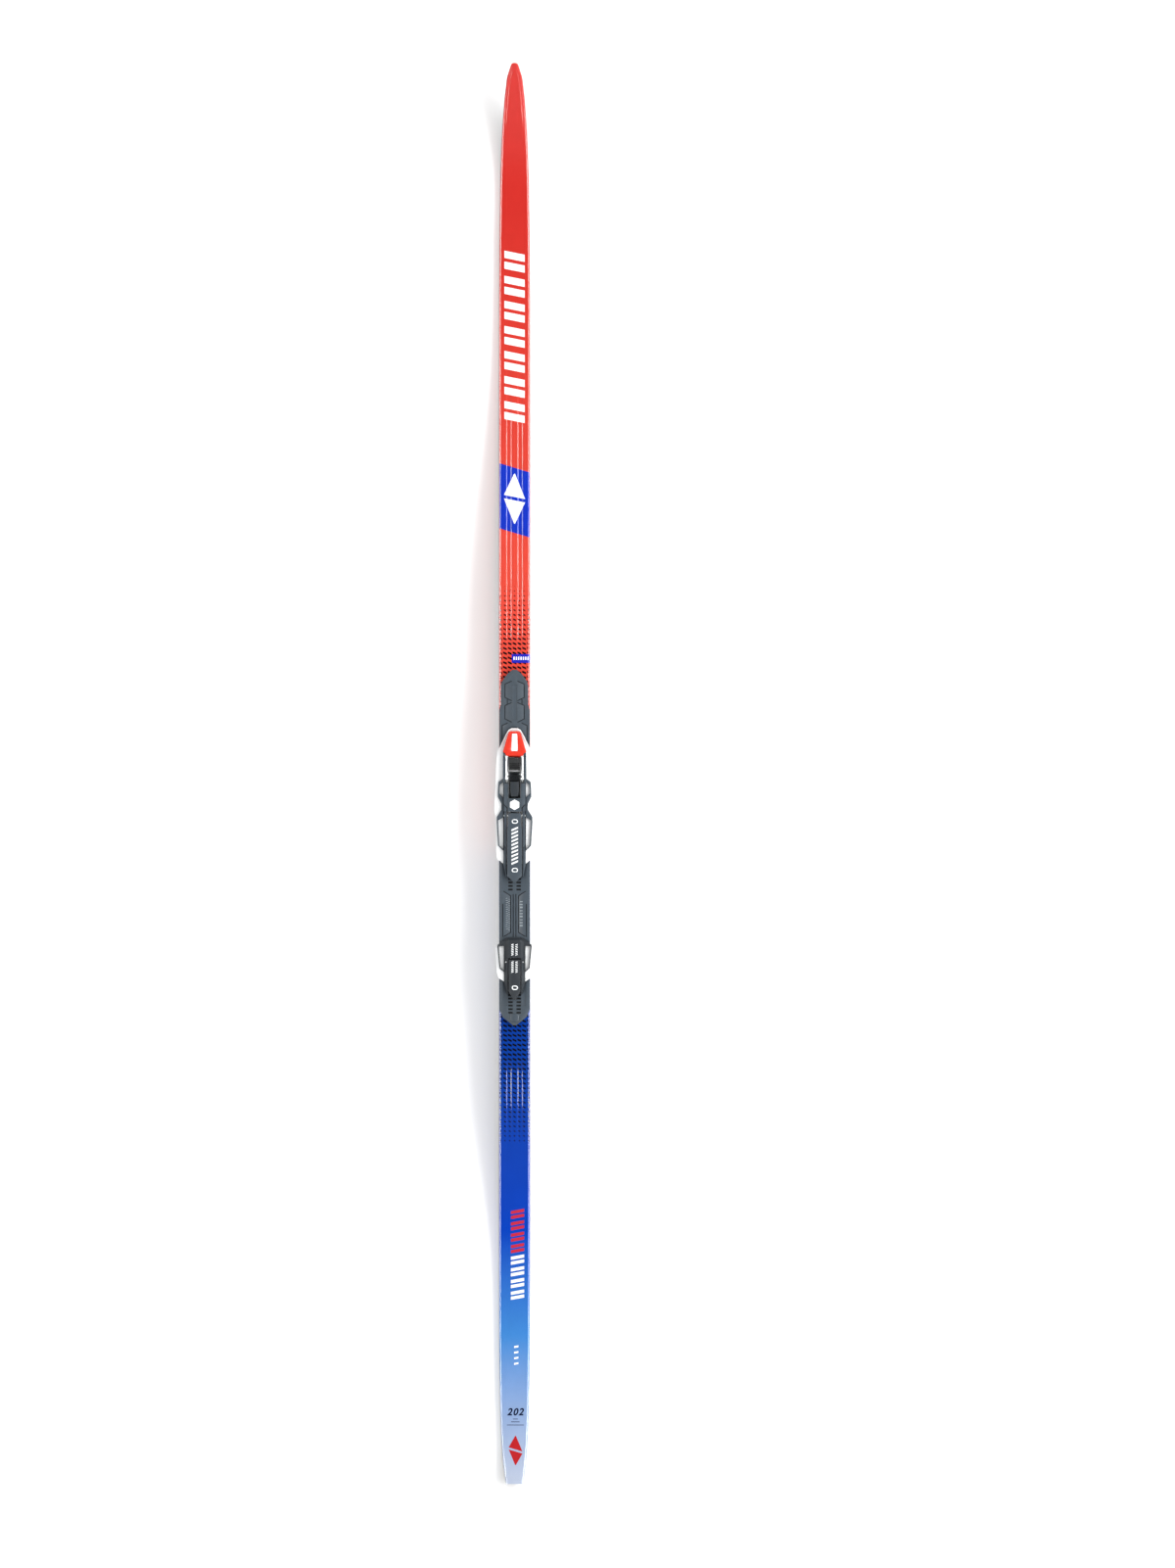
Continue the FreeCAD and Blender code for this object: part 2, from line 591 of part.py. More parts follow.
def heel_housing():
    pieces = wing([(9.9, -233.8), (24.1, -243.4), (24.4, -246.0), (21.4, -276.8), (14.8, -282.8),
                   (9.9, -282.8)],
                  [(15.5, -245.0), (22.4, -245.6), (22.5, -247.0), (19.9, -276.0), (15.5, -280.2)])
    front_low = both_sides([(10.4, -234.0), (15.5, -238.0), (15.5, -262.5)])
    front_top = both_sides([(7.6, -237.0), (8.9, -240.0), (8.9, -262.5)])
    pieces.append(taper(front_low, SHEET_TOP, front_top, PAD_TOP))
    rail_low = [(8.9, -262.5), (15.5, -262.5), (15.3, -296.0), (11.4, -312.0), (8.9, -314.0)]
    rail_top = [(8.9, -262.5), (11.2, -262.5), (11.2, -294.0), (10.0, -310.0), (8.9, -311.0)]
    pieces += mirror_pair(taper(rail_low, SHEET_TOP, rail_top, RAIL_TOP + 0.5))
    body = fused(pieces)
    cuts = [bar(HEEL_LOCK_Y, LOCK_PIN_Z, LOCK_PIN_R, -13.0, 13.0)]
    for piece in stroke([(15.6, -273.0), (11.0, -266.5)], 1.2, WING_TOP, PAD_TOP + 2):
        cuts += mirror_pair(piece)
    save("heel_housing", body.cut(cuts))
    save("heel_lock_pin", bar(HEEL_LOCK_Y, LOCK_PIN_Z, LOCK_PIN_R, -12.9, 12.9))


os.makedirs("parts", exist_ok=True)
ski_layers()
skin()
plate()
toe_flange()
heel_flange()
toe_housing()
toe_small_parts()
fixed_jaw()
jaw_cover()
flexor()
lever()
rods()
moving_jaw()
locks()
heel_housing()
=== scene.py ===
import math

import bmesh
import bpy
from bpy.props import FloatProperty, FloatVectorProperty, IntProperty, PointerProperty
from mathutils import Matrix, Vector
from mathutils.bvhtree import BVHTree


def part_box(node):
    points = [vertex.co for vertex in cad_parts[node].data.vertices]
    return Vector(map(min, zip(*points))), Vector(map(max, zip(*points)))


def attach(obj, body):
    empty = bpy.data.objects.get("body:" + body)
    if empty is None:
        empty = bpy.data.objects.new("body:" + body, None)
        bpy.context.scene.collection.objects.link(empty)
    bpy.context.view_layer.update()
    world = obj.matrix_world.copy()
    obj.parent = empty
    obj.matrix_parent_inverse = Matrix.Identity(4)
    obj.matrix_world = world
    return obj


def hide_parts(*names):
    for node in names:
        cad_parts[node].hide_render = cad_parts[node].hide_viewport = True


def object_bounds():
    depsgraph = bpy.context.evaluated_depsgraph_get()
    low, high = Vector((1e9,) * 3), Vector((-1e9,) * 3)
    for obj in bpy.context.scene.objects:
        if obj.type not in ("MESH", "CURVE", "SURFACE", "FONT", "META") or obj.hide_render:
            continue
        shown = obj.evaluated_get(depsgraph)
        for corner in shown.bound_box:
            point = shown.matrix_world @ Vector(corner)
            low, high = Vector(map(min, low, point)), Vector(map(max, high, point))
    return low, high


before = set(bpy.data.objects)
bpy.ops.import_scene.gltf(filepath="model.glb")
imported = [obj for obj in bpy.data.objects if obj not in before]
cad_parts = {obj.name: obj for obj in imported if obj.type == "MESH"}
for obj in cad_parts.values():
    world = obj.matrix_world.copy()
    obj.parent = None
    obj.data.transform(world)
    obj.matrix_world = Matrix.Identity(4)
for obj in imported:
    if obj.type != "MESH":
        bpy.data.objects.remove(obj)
CAD_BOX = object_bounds()

bl_info = {
    "name": "Cross country ski",
    "version": (1, 0, 0),
    "blender": (4, 5, 0),
    "location": "View3D > Sidebar > Ski",
    "description": "Builds the looks of a classic cross country ski and its step-in binding",
    "category": "Object",
}

MM = 0.001
MAIN_BODY = "ski"


# ------------------------------------------------------------------ sizes and colours a user would change

def length(name, text, default):
    return FloatProperty(name=name, description=text, default=default, unit="LENGTH", precision=5)


def whole(name, text, default, least, most):
    return IntProperty(name=name, description=text, default=default, min=least, max=most)


def colour(name, text, code):
    return FloatVectorProperty(name=name, description=text, default=linear(code)[:3], subtype="COLOR", size=3,
                               min=0.0, max=1.0)


def linear(code):
    """An sRGB hex value as linear red, green, blue and alpha."""
    channels = [int(code[i:i + 2], 16) / 255 for i in (1, 3, 5)]
    values = [c / 12.92 if c <= 0.04045 else ((c + 0.055) / 1.055) ** 2.4 for c in channels]
    return tuple(values) + (1.0,)


class SheetSettings(bpy.types.PropertyGroup):
    """The moulded and printed top sheet."""
    groove_depth: length("Groove depth", "Depth of the two top grooves", 0.8 * MM)
    groove_inner: length("Groove inner edge", "Distance of a groove's inner edge from the middle", 3.6 * MM)
    groove_outer: length("Groove outer edge", "Distance of a groove's outer edge from the middle", 12.4 * MM)
    groove_wall: length("Groove wall", "Width of a groove's sloping wall", 2.5 * MM)
    edge_width: length("Edge bevel", "Width of the bevel along the cap's upper edges", 2.6 * MM)
    edge_radius: length("Edge radius", "Rounding under the bevel", 0.9 * MM)
    tip_line_inset: length("Tip line inset", "Distance of the tip's raised field from the outline", 5.0 * MM)
    tip_line_rise: length("Tip line rise", "Height of the tip's raised field", 0.45 * MM)
    ink_lift: length("Ink lift", "Height of the printed marks over the film", 0.05 * MM)
    dash_pitch: length("Dash pitch", "Spacing of the printed dashes", 6.8 * MM)
    columns: whole("Columns", "Cells across the cap's top", 88, 40, 160)


class SkinSettings(bpy.types.PropertyGroup):
    """The climbing skin under the foot."""
    hair_length: length("Hair length", "Length of one tuft of the pile", 1.5 * MM)
    hair_width: length("Hair width", "Width of one tuft of the pile", 0.28 * MM)
    hairs: whole("Tufts", "Number of tufts on the skin", 24000, 1000, 60000)
    seed: whole("Seed", "Seed of the tufts' places", 7, 0, 1000)


class StageSettings(bpy.types.PropertyGroup):
    """Floor, lights and camera."""
    view_height: length("View height", "Height of the area the camera sees", 2.2286)
    view_x: length("View centre X", "Middle of the view across the ski", 0.1037)
    view_y: length("View centre Y", "Middle of the view along the ski", -0.015)
    floor_colour: colour("Floor", "Colour of the floor", "#fbfbfb")


# ------------------------------------------------------------------ small helpers

def smooth_step(value, low, high):
    part = min(max((value - low) / (high - low), 0.0), 1.0)
    return part * part * (3.0 - 2.0 * part)


def evenly(low, high, count):
    return [low + (high - low) * i / (count - 1) for i in range(count)]


class Line:
    """A monotone cubic through (place, value) pairs, so that level stretches stay level."""

    def __init__(self, pairs):
        self.x = [p[0] for p in pairs]
        self.v = [p[1] for p in pairs]
        steps = [(b - a) for a, b in zip(self.x, self.x[1:])]
        rises = [(b - a) / h for a, b, h in zip(self.v, self.v[1:], steps)]
        self.slope = [rises[0]]
        for i in range(1, len(rises)):
            before, after = rises[i - 1], rises[i]
            if before * after <= 0.0:
                self.slope.append(0.0)
                continue
            w0 = 2 * steps[i] + steps[i - 1]
            w1 = steps[i] + 2 * steps[i - 1]
            self.slope.append((w0 + w1) / (w0 / before + w1 / after))
        self.slope.append(rises[-1])

    def __call__(self, place):
        place = min(max(place, self.x[0]), self.x[-1])
        i = 0
        while i < len(self.x) - 2 and place > self.x[i + 1]:
            i += 1
        h = self.x[i + 1] - self.x[i]
        t = (place - self.x[i]) / h
        a = (1 + 2 * t) * (1 - t) ** 2
        b = t * (1 - t) ** 2
        c = t * t * (3 - 2 * t)
        d = t * t * (t - 1)
        return a * self.v[i] + b * h * self.slope[i] + c * self.v[i + 1] + d * h * self.slope[i + 1]


def cad_lines(node, corners):
    """Half width, lowest and highest height of a lofted CAD layer, as lines along Y."""
    rows = {}
    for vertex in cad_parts[node].data.vertices:
        x, y, z = vertex.co
        rows.setdefault(round(y, 5), set()).add((round(x, 5), round(z, 5)))
    found = [(y, points) for y, points in sorted(rows.items()) if len(points) >= corners]
    half = Line([(y, max(p[0] for p in points)) for y, points in found])
    low = Line([(y, min(p[1] for p in points)) for y, points in found])
    high = Line([(y, max(p[1] for p in points)) for y, points in found])
    return half, low, high


HALF, CAP_FOOT, CAP_TOP = cad_lines("top_cap", 16)
BASE_LOW = cad_lines("running_base", 8)[1]
TIP_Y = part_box("top_cap")[1][1]
TAIL_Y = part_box("top_cap")[0][1]
FULL_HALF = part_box("top_cap")[1][0]
SKIN_LOW, SKIN_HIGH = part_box("skin_pile")
NOSE = 3.2 * MM
NOSE_TIP = 0.12 * MM
BEVEL_SLOPE = 0.41
INK_DEPTH = 0.08 * MM
WELL_ABOVE = 0.3


def half_width(y):
    """The outline's half width, with a round nose."""
    behind = TIP_Y - y
    if behind < NOSE:
        return max(HALF(TIP_Y - NOSE) * math.sqrt(max(1 - (1 - behind / NOSE) ** 2, 0.0)), NOSE_TIP)
    return HALF(y)


def stations(start, end, step, fine=0.0015):
    """Places along the ski, in metres: closer within 30 mm of an end, and closer still within 6 mm."""
    places = [start]
    while places[-1] < end - 1e-7:
        y = places[-1]
        near = min(TIP_Y - y, y - TAIL_Y)
        pace = fine * 0.3 if near < 0.006 else fine if near < 0.03 else step
        places.append(min(y + pace, end))
    return places


def make_object(name, mesh):
    thing = bpy.data.objects.new(name, mesh)
    bpy.context.scene.collection.objects.link(thing)
    return thing


def mesh_from(name, points, faces):
    mesh = bpy.data.meshes.new(name)
    mesh.from_pydata([tuple(p) for p in points], [], faces)
    mesh.validate()
    return make_object(name, mesh)


def ring_loft(name, places, ring):
    """A closed tube of equal rings along Y, with its ends filled. ring(y) gives (x, z) points."""
    points = []
    faces = []
    for y in places:
        points += [(x, y, z) for x, z in ring(y)]
    count = len(points) // len(places)
    for row in range(len(places) - 1):
        for i in range(count):
            a = row * count + i
            b = row * count + (i + 1) % count
            faces.append((a, a + count, b + count, b))
    faces.append(tuple(range(count)))
    faces.append(tuple(reversed(range(len(points) - count, len(points)))))
    return mesh_from(name, points, faces)


def outward(thing):
    """Recalculates a closed mesh's normals so that they point out."""
    edit = bmesh.new()
    edit.from_mesh(thing.data)
    bmesh.ops.remove_doubles(edit, verts=edit.verts, dist=1e-7)
    bmesh.ops.recalc_face_normals(edit, faces=edit.faces)
    edit.to_mesh(thing.data)
    edit.free()


def smooth(thing, angle):
    """Smooth shading, with an edge sharper than the angle (in degrees) left hard."""
    mesh = thing.data
    mesh.shade_smooth()
    mesh.set_sharp_from_angle(angle=math.radians(angle))


def plain(thing):
    """The evaluated object as a plain mesh, with its modifiers removed."""
    bpy.context.view_layer.update()
    mesh = bpy.data.meshes.new_from_object(thing.evaluated_get(bpy.context.evaluated_depsgraph_get()))
    thing.modifiers.clear()
    thing.data = mesh
    mesh.name = thing.name
    return thing


def dress(thing, material):
    thing.data.materials.clear()
    thing.data.materials.append(material)


def settle(thing, body, slot, *nodes):
    """Says what a finished piece rides on, its material slot and the CAD nodes it stands for."""
    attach(thing, body)
    if nodes:
        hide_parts(*nodes)


def tree_of(thing):
    return BVHTree.FromPolygons([v.co.copy() for v in thing.data.vertices],
                                [tuple(p.vertices) for p in thing.data.polygons])


def drop(tree, x, y):
    """Height of a surface under a point, or None."""
    hit = tree.ray_cast(Vector((x, y, WELL_ABOVE)), Vector((0, 0, -1)))[0]
    return hit.z if hit else None


# ------------------------------------------------------------------ node helpers

def add(tree, kind, inputs=None, **settings):
    """Adds a node. Settings are its properties.

    inputs maps a socket's name or number to a value, to an output, or to a node whose first output is meant.
    """
    node = tree.nodes.new(kind)
    for key, value in settings.items():
        setattr(node, key, value)
    for key, value in (inputs or {}).items():
        if isinstance(value, bpy.types.Node):
            value = value.outputs[0]
        if isinstance(value, bpy.types.NodeSocket):
            tree.links.new(value, node.inputs[key])
        else:
            node.inputs[key].default_value = value
    return node


def new_material(name, shader):
    """A material with one Principled BSDF. shader(tree, spot) gives its sockets; spot is a point on it."""
    material = bpy.data.materials.new(name)
    material.use_nodes = True
    tree = material.node_tree
    tree.nodes.clear()
    spot = add(tree, "ShaderNodeTexCoord").outputs["Object"]
    surface = add(tree, "ShaderNodeBsdfPrincipled", shader(tree, spot))
    add(tree, "ShaderNodeOutputMaterial", {0: surface})
    return material


def cloudy(tree, spot, size_mm, detail=2.0, rough=0.5, stretch=None):
    """A cloudy pattern with patches about size_mm across, drawn out along an axis by a stretch under 1."""
    if stretch:
        spot = add(tree, "ShaderNodeMapping", {"Vector": spot, "Scale": stretch})
    return add(tree, "ShaderNodeTexNoise", {"Vector": spot, "Scale": 1.0 / (size_mm * MM), "Detail": detail,
                                            "Roughness": rough})


def two_tints(tree, pattern, low, high, first, second, share=1.0):
    """The first tint, turning to a share of the second where the pattern climbs from low to high."""
    factor = add(tree, "ShaderNodeMapRange", {"Value": pattern, "From Min": low, "From Max": high,
                                              "To Max": share})
    return add(tree, "ShaderNodeMix", {0: factor, 6: first, 7: second}, data_type="RGBA").outputs[2]


def painted_recess_shade(tree, tint, share, shade_tint):
    """The tint, with up to a share of the dirt's tint inside recesses, where dust and shade gather."""
    recess = add(tree, "ShaderNodeAmbientOcclusion", {"Distance": 5.0 * MM}, samples=12).outputs["AO"]
    factor = add(tree, "ShaderNodeMapRange", {"Value": recess, "From Min": 0.45, "From Max": 0.95,
                                              "To Min": share, "To Max": 0.0})
    return add(tree, "ShaderNodeMix", {0: factor, 6: tint, 7: shade_tint}, data_type="RGBA").outputs[2]


def graded(tree, value, stops):
    """Tints that run into each other as the value climbs. stops are (position, tint)."""
    node = add(tree, "ShaderNodeValToRGB", {"Fac": value})
    while len(node.color_ramp.elements) < len(stops):
        node.color_ramp.elements.new(0.5)
    for element, (position, tint) in zip(node.color_ramp.elements, stops):
        element.position = position
        element.color = tint
    return node


# ------------------------------------------------------------------ materials

def printed_film(name, tint_of, tone=0.05):
    """Printed polyamide film under clear lacquer: deep, dull colour with a sharp gloss over it."""
    def shader(tree, spot):
        cloud = cloudy(tree, spot, 18.0)
        peel = cloudy(tree, spot, 1.6, 1.0, stretch=(1.0, 0.6, 1.0))
        gloss = add(tree, "ShaderNodeMapRange", {"Value": cloud, "From Min": 0.2, "From Max": 0.8,
                                                 "To Min": 0.30, "To Max": 0.38})
        # The print lies inside the lacquer, so all of the reflection comes from the lacquer's own face.
        return {"Base Color": two_tints(tree, cloud, 0.3, 0.7, tint_of(tree, spot), linear("#000000"), tone),
                "Roughness": gloss, "IOR": 1.5, "Specular IOR Level": 0.0, "Coat Weight": 0.5,
                "Coat Roughness": 0.09, "Coat IOR": 1.5,
                "Normal": add(tree, "ShaderNodeBump", {"Height": peel, "Distance": 0.004 * MM})}
    return new_material(name, shader)


def one_tint(code):
    return lambda tree, spot: linear(code)


# The sheet is printed with six inks.
PALE, SKY, ROYAL = "#a8b2c6", "#3c7cc0", "#0038a8"
NAVY, CORAL, SIGNAL = "#08368e", "#d04436", "#c02c26"
# Each fade runs from one place to the next, in mm ahead of mid length.
SHEET_FADES = ((-1000, PALE), (-800, SKY), (-650, ROYAL), (-420, NAVY), (-120, NAVY), (-100, CORAL),
               (300, CORAL), (800, SIGNAL))


def sheet_tint(tree, spot):
    """The sheet's tint at a point: the inks and the fades between them, along the ski."""
    along = add(tree, "ShaderNodeSeparateXYZ", {0: spot}).outputs["Y"]
    low, high = SHEET_FADES[0][0] * MM, SHEET_FADES[-1][0] * MM
    stops = [((y * MM - low) / (high - low), linear(code)) for y, code in SHEET_FADES]
    part = add(tree, "ShaderNodeMapRange", {"Value": along, "From Min": low, "From Max": high})
    return graded(tree, part, stops)


def shade(code, tone):
    """A tint from a hex value, darker by the tone."""
    red, green, blue, alpha = linear(code)
    return (red * tone, green * tone, blue * tone, alpha)


def moulded_plastic(name, code, grain_mm, depth_mm, rough, tone, coat=0.0, recess_shade=0.95):
    """Injection moulded plastic: an even tint, a spark-eroded grain, slightly uneven gloss, dark recesses."""
    def shader(tree, spot):
        cloud = cloudy(tree, spot, 9.0, 3.0)
        grain = cloudy(tree, spot, grain_mm, 2.0, 0.6)
        tint = two_tints(tree, cloud, 0.3, 0.7, linear(code), shade(code, tone))
        gloss = add(tree, "ShaderNodeMapRange", {"Value": cloud, "From Min": 0.25, "From Max": 0.75,
                                                 "To Min": rough - 0.06, "To Max": rough + 0.06})
        # Painted shade: inside recesses the tint darkens toward a near-black copy of itself.
        return {"Base Color": painted_recess_shade(tree, tint, recess_shade, shade(code, 0.04)), "Roughness": gloss, "IOR": 1.5,
                "Specular IOR Level": 0.2, "Coat Weight": coat, "Coat Roughness": 0.15,
                "Normal": add(tree, "ShaderNodeBump", {"Height": grain, "Distance": depth_mm * MM})}
    return new_material(name, shader)


def steel(name, code, lines, rough):
    """Stainless steel: a metal's own tint, with drawing or rolling lines that stretch the gloss."""
    def shader(tree, spot):
        drawn = cloudy(tree, spot, 0.4, 3.0, 0.6, lines)
        gloss = add(tree, "ShaderNodeMapRange", {"Value": drawn, "From Min": 0.3, "From Max": 0.7,
                                                 "To Min": rough - 0.04, "To Max": rough + 0.06})
        return {"Base Color": two_tints(tree, drawn, 0.3, 0.7, linear(code), shade(code, 0.82)),
                "Metallic": 1.0, "Roughness": gloss,
                "Normal": add(tree, "ShaderNodeBump", {"Height": drawn, "Distance": 0.0006 * MM})}
    return new_material(name, shader)


def rubber(name):
    """Moulded thermoplastic rubber: dull, near black, with a bloom of lighter dust in its fine grain."""
    def shader(tree, spot):
        bloom = cloudy(tree, spot, 4.0, 4.0, 0.65)
        grain = cloudy(tree, spot, 0.35)
        tint = two_tints(tree, bloom, 0.45, 0.8, linear("#0e1012"), linear("#1b1e21"))
        # Painted shade: inside recesses the rubber's tint darkens to black.
        return {"Base Color": painted_recess_shade(tree, tint, 0.95, linear("#020203")), "Roughness": 0.68, "IOR": 1.52,
                "Specular IOR Level": 0.2,
                "Normal": add(tree, "ShaderNodeBump", {"Height": grain, "Distance": 0.03 * MM})}
    return new_material(name, shader)


def sintered_base(name):
    """Graphite-filled sintered polyethylene, stone ground: fine lines along the ski break up a waxy gloss."""
    def shader(tree, spot):
        # Real stone grinding cuts lines about 0.3 mm apart; they are drawn at 0.8 mm so that they show.
        lines = cloudy(tree, spot, 0.8, stretch=(1.0, 0.01, 0.3))
        cloud = cloudy(tree, spot, 24.0, 3.0, stretch=(1.0, 0.2, 1.0))
        fleck = cloudy(tree, spot, 0.9, 1.0)
        tint = two_tints(tree, cloud, 0.3, 0.7, linear("#17181b"), linear("#222428"))
        gloss = add(tree, "ShaderNodeMapRange", {"Value": cloud, "From Min": 0.3, "From Max": 0.7,
                                                 "To Min": 0.34, "To Max": 0.46})
        return {"Base Color": two_tints(tree, fleck, 0.66, 0.74, tint, linear("#4a4d53"), 0.25),
                "Roughness": gloss, "IOR": 1.51,
                "Normal": add(tree, "ShaderNodeBump", {"Height": lines, "Distance": 0.05 * MM})}
    return new_material(name, shader)


def mohair(name):
    """Woven mohair pile: soft fibres that shade from dark roots to light tips, with a velvet sheen."""
    def shader(tree, spot):
        tuft = cloudy(tree, spot, 1.2, 3.0, 0.6, (1.0, 0.25, 1.0))
        patch = cloudy(tree, spot, 14.0, 3.0)
        tint = two_tints(tree, tuft, 0.3, 0.7, linear("#3c3a40"), linear("#77737a"))
        return {"Base Color": two_tints(tree, patch, 0.35, 0.7, tint, linear("#55515a"), 0.3),
                "Roughness": 0.85, "Sheen Weight": 0.6, "Sheen Roughness": 0.4,
                "Normal": add(tree, "ShaderNodeBump", {"Height": tuft, "Distance": 0.12 * MM})}
    return new_material(name, shader)


def glass_laminate(name):
    """Glass cloth in epoxy: a slightly green sheet whose weave shows through the resin."""
    def shader(tree, spot):
        flat = add(tree, "ShaderNodeMapping", {"Vector": spot, "Scale": (1.0, 1.0, 0.0)})
        weave = add(tree, "ShaderNodeTexChecker", {"Vector": flat, "Scale": 1.0 / (1.2 * MM)}).outputs["Fac"]
        return {"Base Color": two_tints(tree, weave, 0.0, 1.0, linear("#8f9b7d"), linear("#a5b092")),
                "Roughness": 0.4, "IOR": 1.55,
                "Normal": add(tree, "ShaderNodeBump", {"Height": weave, "Distance": 0.03 * MM})}
    return new_material(name, shader)


def core_wood(name):
    """Sawn paulownia strips glued side by side: pale wood with long, faint grain and thin glue lines."""
    def shader(tree, spot):
        grain = cloudy(tree, spot, 1.5, 4.0, 0.6, (1.0, 0.03, 1.0))
        across = add(tree, "ShaderNodeTexWave", {"Vector": spot, "Scale": 1.0 / (7.0 * MM)},
                     wave_type="BANDS", bands_direction="X", wave_profile="SAW").outputs["Fac"]
        tint = two_tints(tree, grain, 0.3, 0.7, linear("#d6b98c"), linear("#b8935f"))
        return {"Base Color": two_tints(tree, across, 0.94, 0.98, tint, linear("#7c5f3a")), "Roughness": 0.6,
                "IOR": 1.5, "Normal": add(tree, "ShaderNodeBump", {"Height": grain, "Distance": 0.05 * MM})}
    return new_material(name, shader)


def adhesive_film(name):
    """Polyester backing film with a rubbery adhesive: dark, a little shiny and slightly rippled."""
    def shader(tree, spot):
        ripple = cloudy(tree, spot, 6.0, 3.0)
        return {"Base Color": two_tints(tree, ripple, 0.3, 0.7, linear("#26262a"), linear("#33333a")),
                "Roughness": 0.3, "IOR": 1.5,
                "Normal": add(tree, "ShaderNodeBump", {"Height": ripple, "Distance": 0.05 * MM})}
    return new_material(name, shader)


MATERIALS = {}


def make_materials():
    """All finishes of the ski and its binding, by name."""
    MATERIALS.update({
        "film": printed_film("printed_film_under_lacquer", sheet_tint),
        "white_ink": printed_film("white_screen_ink", one_tint("#f7f6f8"), 0.02),
        "blue_ink": printed_film("blue_screen_ink", one_tint("#112fb0")),
        "violet_ink": printed_film("violet_screen_ink", one_tint("#2426ab")),
        "black_ink": printed_film("black_screen_ink", one_tint("#09080d")),
        "navy_ink": printed_film("navy_screen_ink", one_tint("#101631")),
        "red_ink": printed_film("red_screen_ink", one_tint("#b8293c")),
        "mark_ink": printed_film("dark_red_screen_ink", one_tint("#ad2125")),
        # Plastics get painted shade in their recesses, up to the share given for each.
        "charcoal": moulded_plastic("glass_filled_polyamide", "#3f4952", 0.3, 0.02, 0.46, 0.86),
        "lock": moulded_plastic("unfilled_polyamide", "#3d4750", 0.25, 0.015, 0.42, 0.88),
        "cover": moulded_plastic("dark_polyamide", "#2a2f34", 0.25, 0.015, 0.42, 0.88),
        "white": moulded_plastic("white_acetal", "#fafcfd", 0.4, 0.008, 0.34, 0.97, recess_shade=0.06),
        "red": moulded_plastic("red_acetal", "#d63321", 0.4, 0.008, 0.30, 0.90, 0.3, recess_shade=0.5),
        "rubber": rubber("thermoplastic_rubber"),
        "wire": steel("drawn_stainless_wire", "#eef1f1", (1.0, 0.05, 1.0), 0.42),
        "sheet_steel": steel("phosphated_steel_sheet", "#1e2022", (0.05, 1.0, 1.0), 0.42),
        "base": sintered_base("sintered_polyethylene"),
        "mohair": mohair("mohair_pile"),
        "laminate": glass_laminate("glass_epoxy_laminate"),
        "wood": core_wood("paulownia_strips"),
        "adhesive": adhesive_film("adhesive_film"),
        "grey_ink": moulded_plastic("light_grey_marking", "#7d868c", 0.4, 0.004, 0.5, 0.9, recess_shade=0.0),
        "pad_white": moulded_plastic("white_pad_printing", "#eceff0", 0.4, 0.004, 0.5, 0.96, recess_shade=0.0),
    })


# ------------------------------------------------------------------ the cap

# Where the two grooves begin, are full, start to fade and are gone, in mm ahead of mid length or behind it
FRONT_GROOVES = (157.0, 200.0, 480.0, 640.0)
REAR_GROOVES = (398.0, 425.0, 460.0, 540.0)


def groove_presence(y):
    """How much of the top grooves' depth there is at a place along the ski."""
    def within(place, begin, full, fade, gone):
        return smooth_step(place, begin, full) * (1.0 - smooth_step(place, fade, gone))
    return max(within(y / MM, *FRONT_GROOVES), within(-y / MM, *REAR_GROOVES))


def soft_ramp(value, low, high, round_off):
    """0 to 1 with a straight middle and rounded ends, so that a wall has one even slope."""
    width = high - low
    t = min(max((value - low) / width, 0.0), 1.0)
    r = round_off
    scale = 1.0 / (1.0 - r)
    if t < r:
        return scale * t * t / (2 * r)
    if t > 1 - r:
        return 1.0 - scale * (1 - t) ** 2 / (2 * r)
    return scale * (t - r / 2)


def groove_cut(x, y, sheet):
    """Depth of the cut at a place on the top: the groove narrows to a point towards its faded ends."""
    there = groove_presence(y)
    if there <= 0.0:
        return 0.0
    away = abs(x) * FULL_HALF / half_width(y)
    middle = (sheet.groove_inner + sheet.groove_outer) / 2
    reach = (sheet.groove_outer - sheet.groove_inner) / 2
    wall = sheet.groove_wall
    inside = soft_ramp(reach - abs(away - middle), 0.0, wall, 0.22)
    return sheet.groove_depth * there * inside


def tip_field(x, y, half, sheet):
    """Rise of the raised field that follows the tip's outline, and fades 60 to 150 mm behind the tip."""
    behind = TIP_Y - y
    if behind > 0.16:
        return 0.0
    inset = sheet.tip_line_inset
    wall = 0.7 * MM
    from_tip = behind * 0.45
    inside = min(half - abs(x), from_tip)
    fade = 1.0 - smooth_step(behind, 0.06, 0.15)
    return sheet.tip_line_rise * fade * soft_ramp(inside, inset - wall, inset + wall, 0.3)


def edge_sizes(half, sheet):
    """Width of the bevel and of the radius under it, smaller where the ski is narrow."""
    width = min(sheet.edge_width, half * 0.4)
    return width, min(sheet.edge_radius, width * 0.35)


def cap_height(x, y, half, sheet):
    """Height of the cap's outer surface at (x, y): flat, then a gentle bevel, then a small radius."""
    width, radius = edge_sizes(half, sheet)
    over = abs(x) - (half - width)
    fall = BEVEL_SLOPE * max(over, 0.0) * smooth_step(over, 0.0, 0.5 * MM)
    turn = abs(x) - (half - radius)
    if turn > 0:
        fall += radius - math.sqrt(max(radius ** 2 - turn ** 2, 0.0))
    return CAP_TOP(y) - fall - groove_cut(x, y, sheet) + tip_field(x, y, half, sheet)


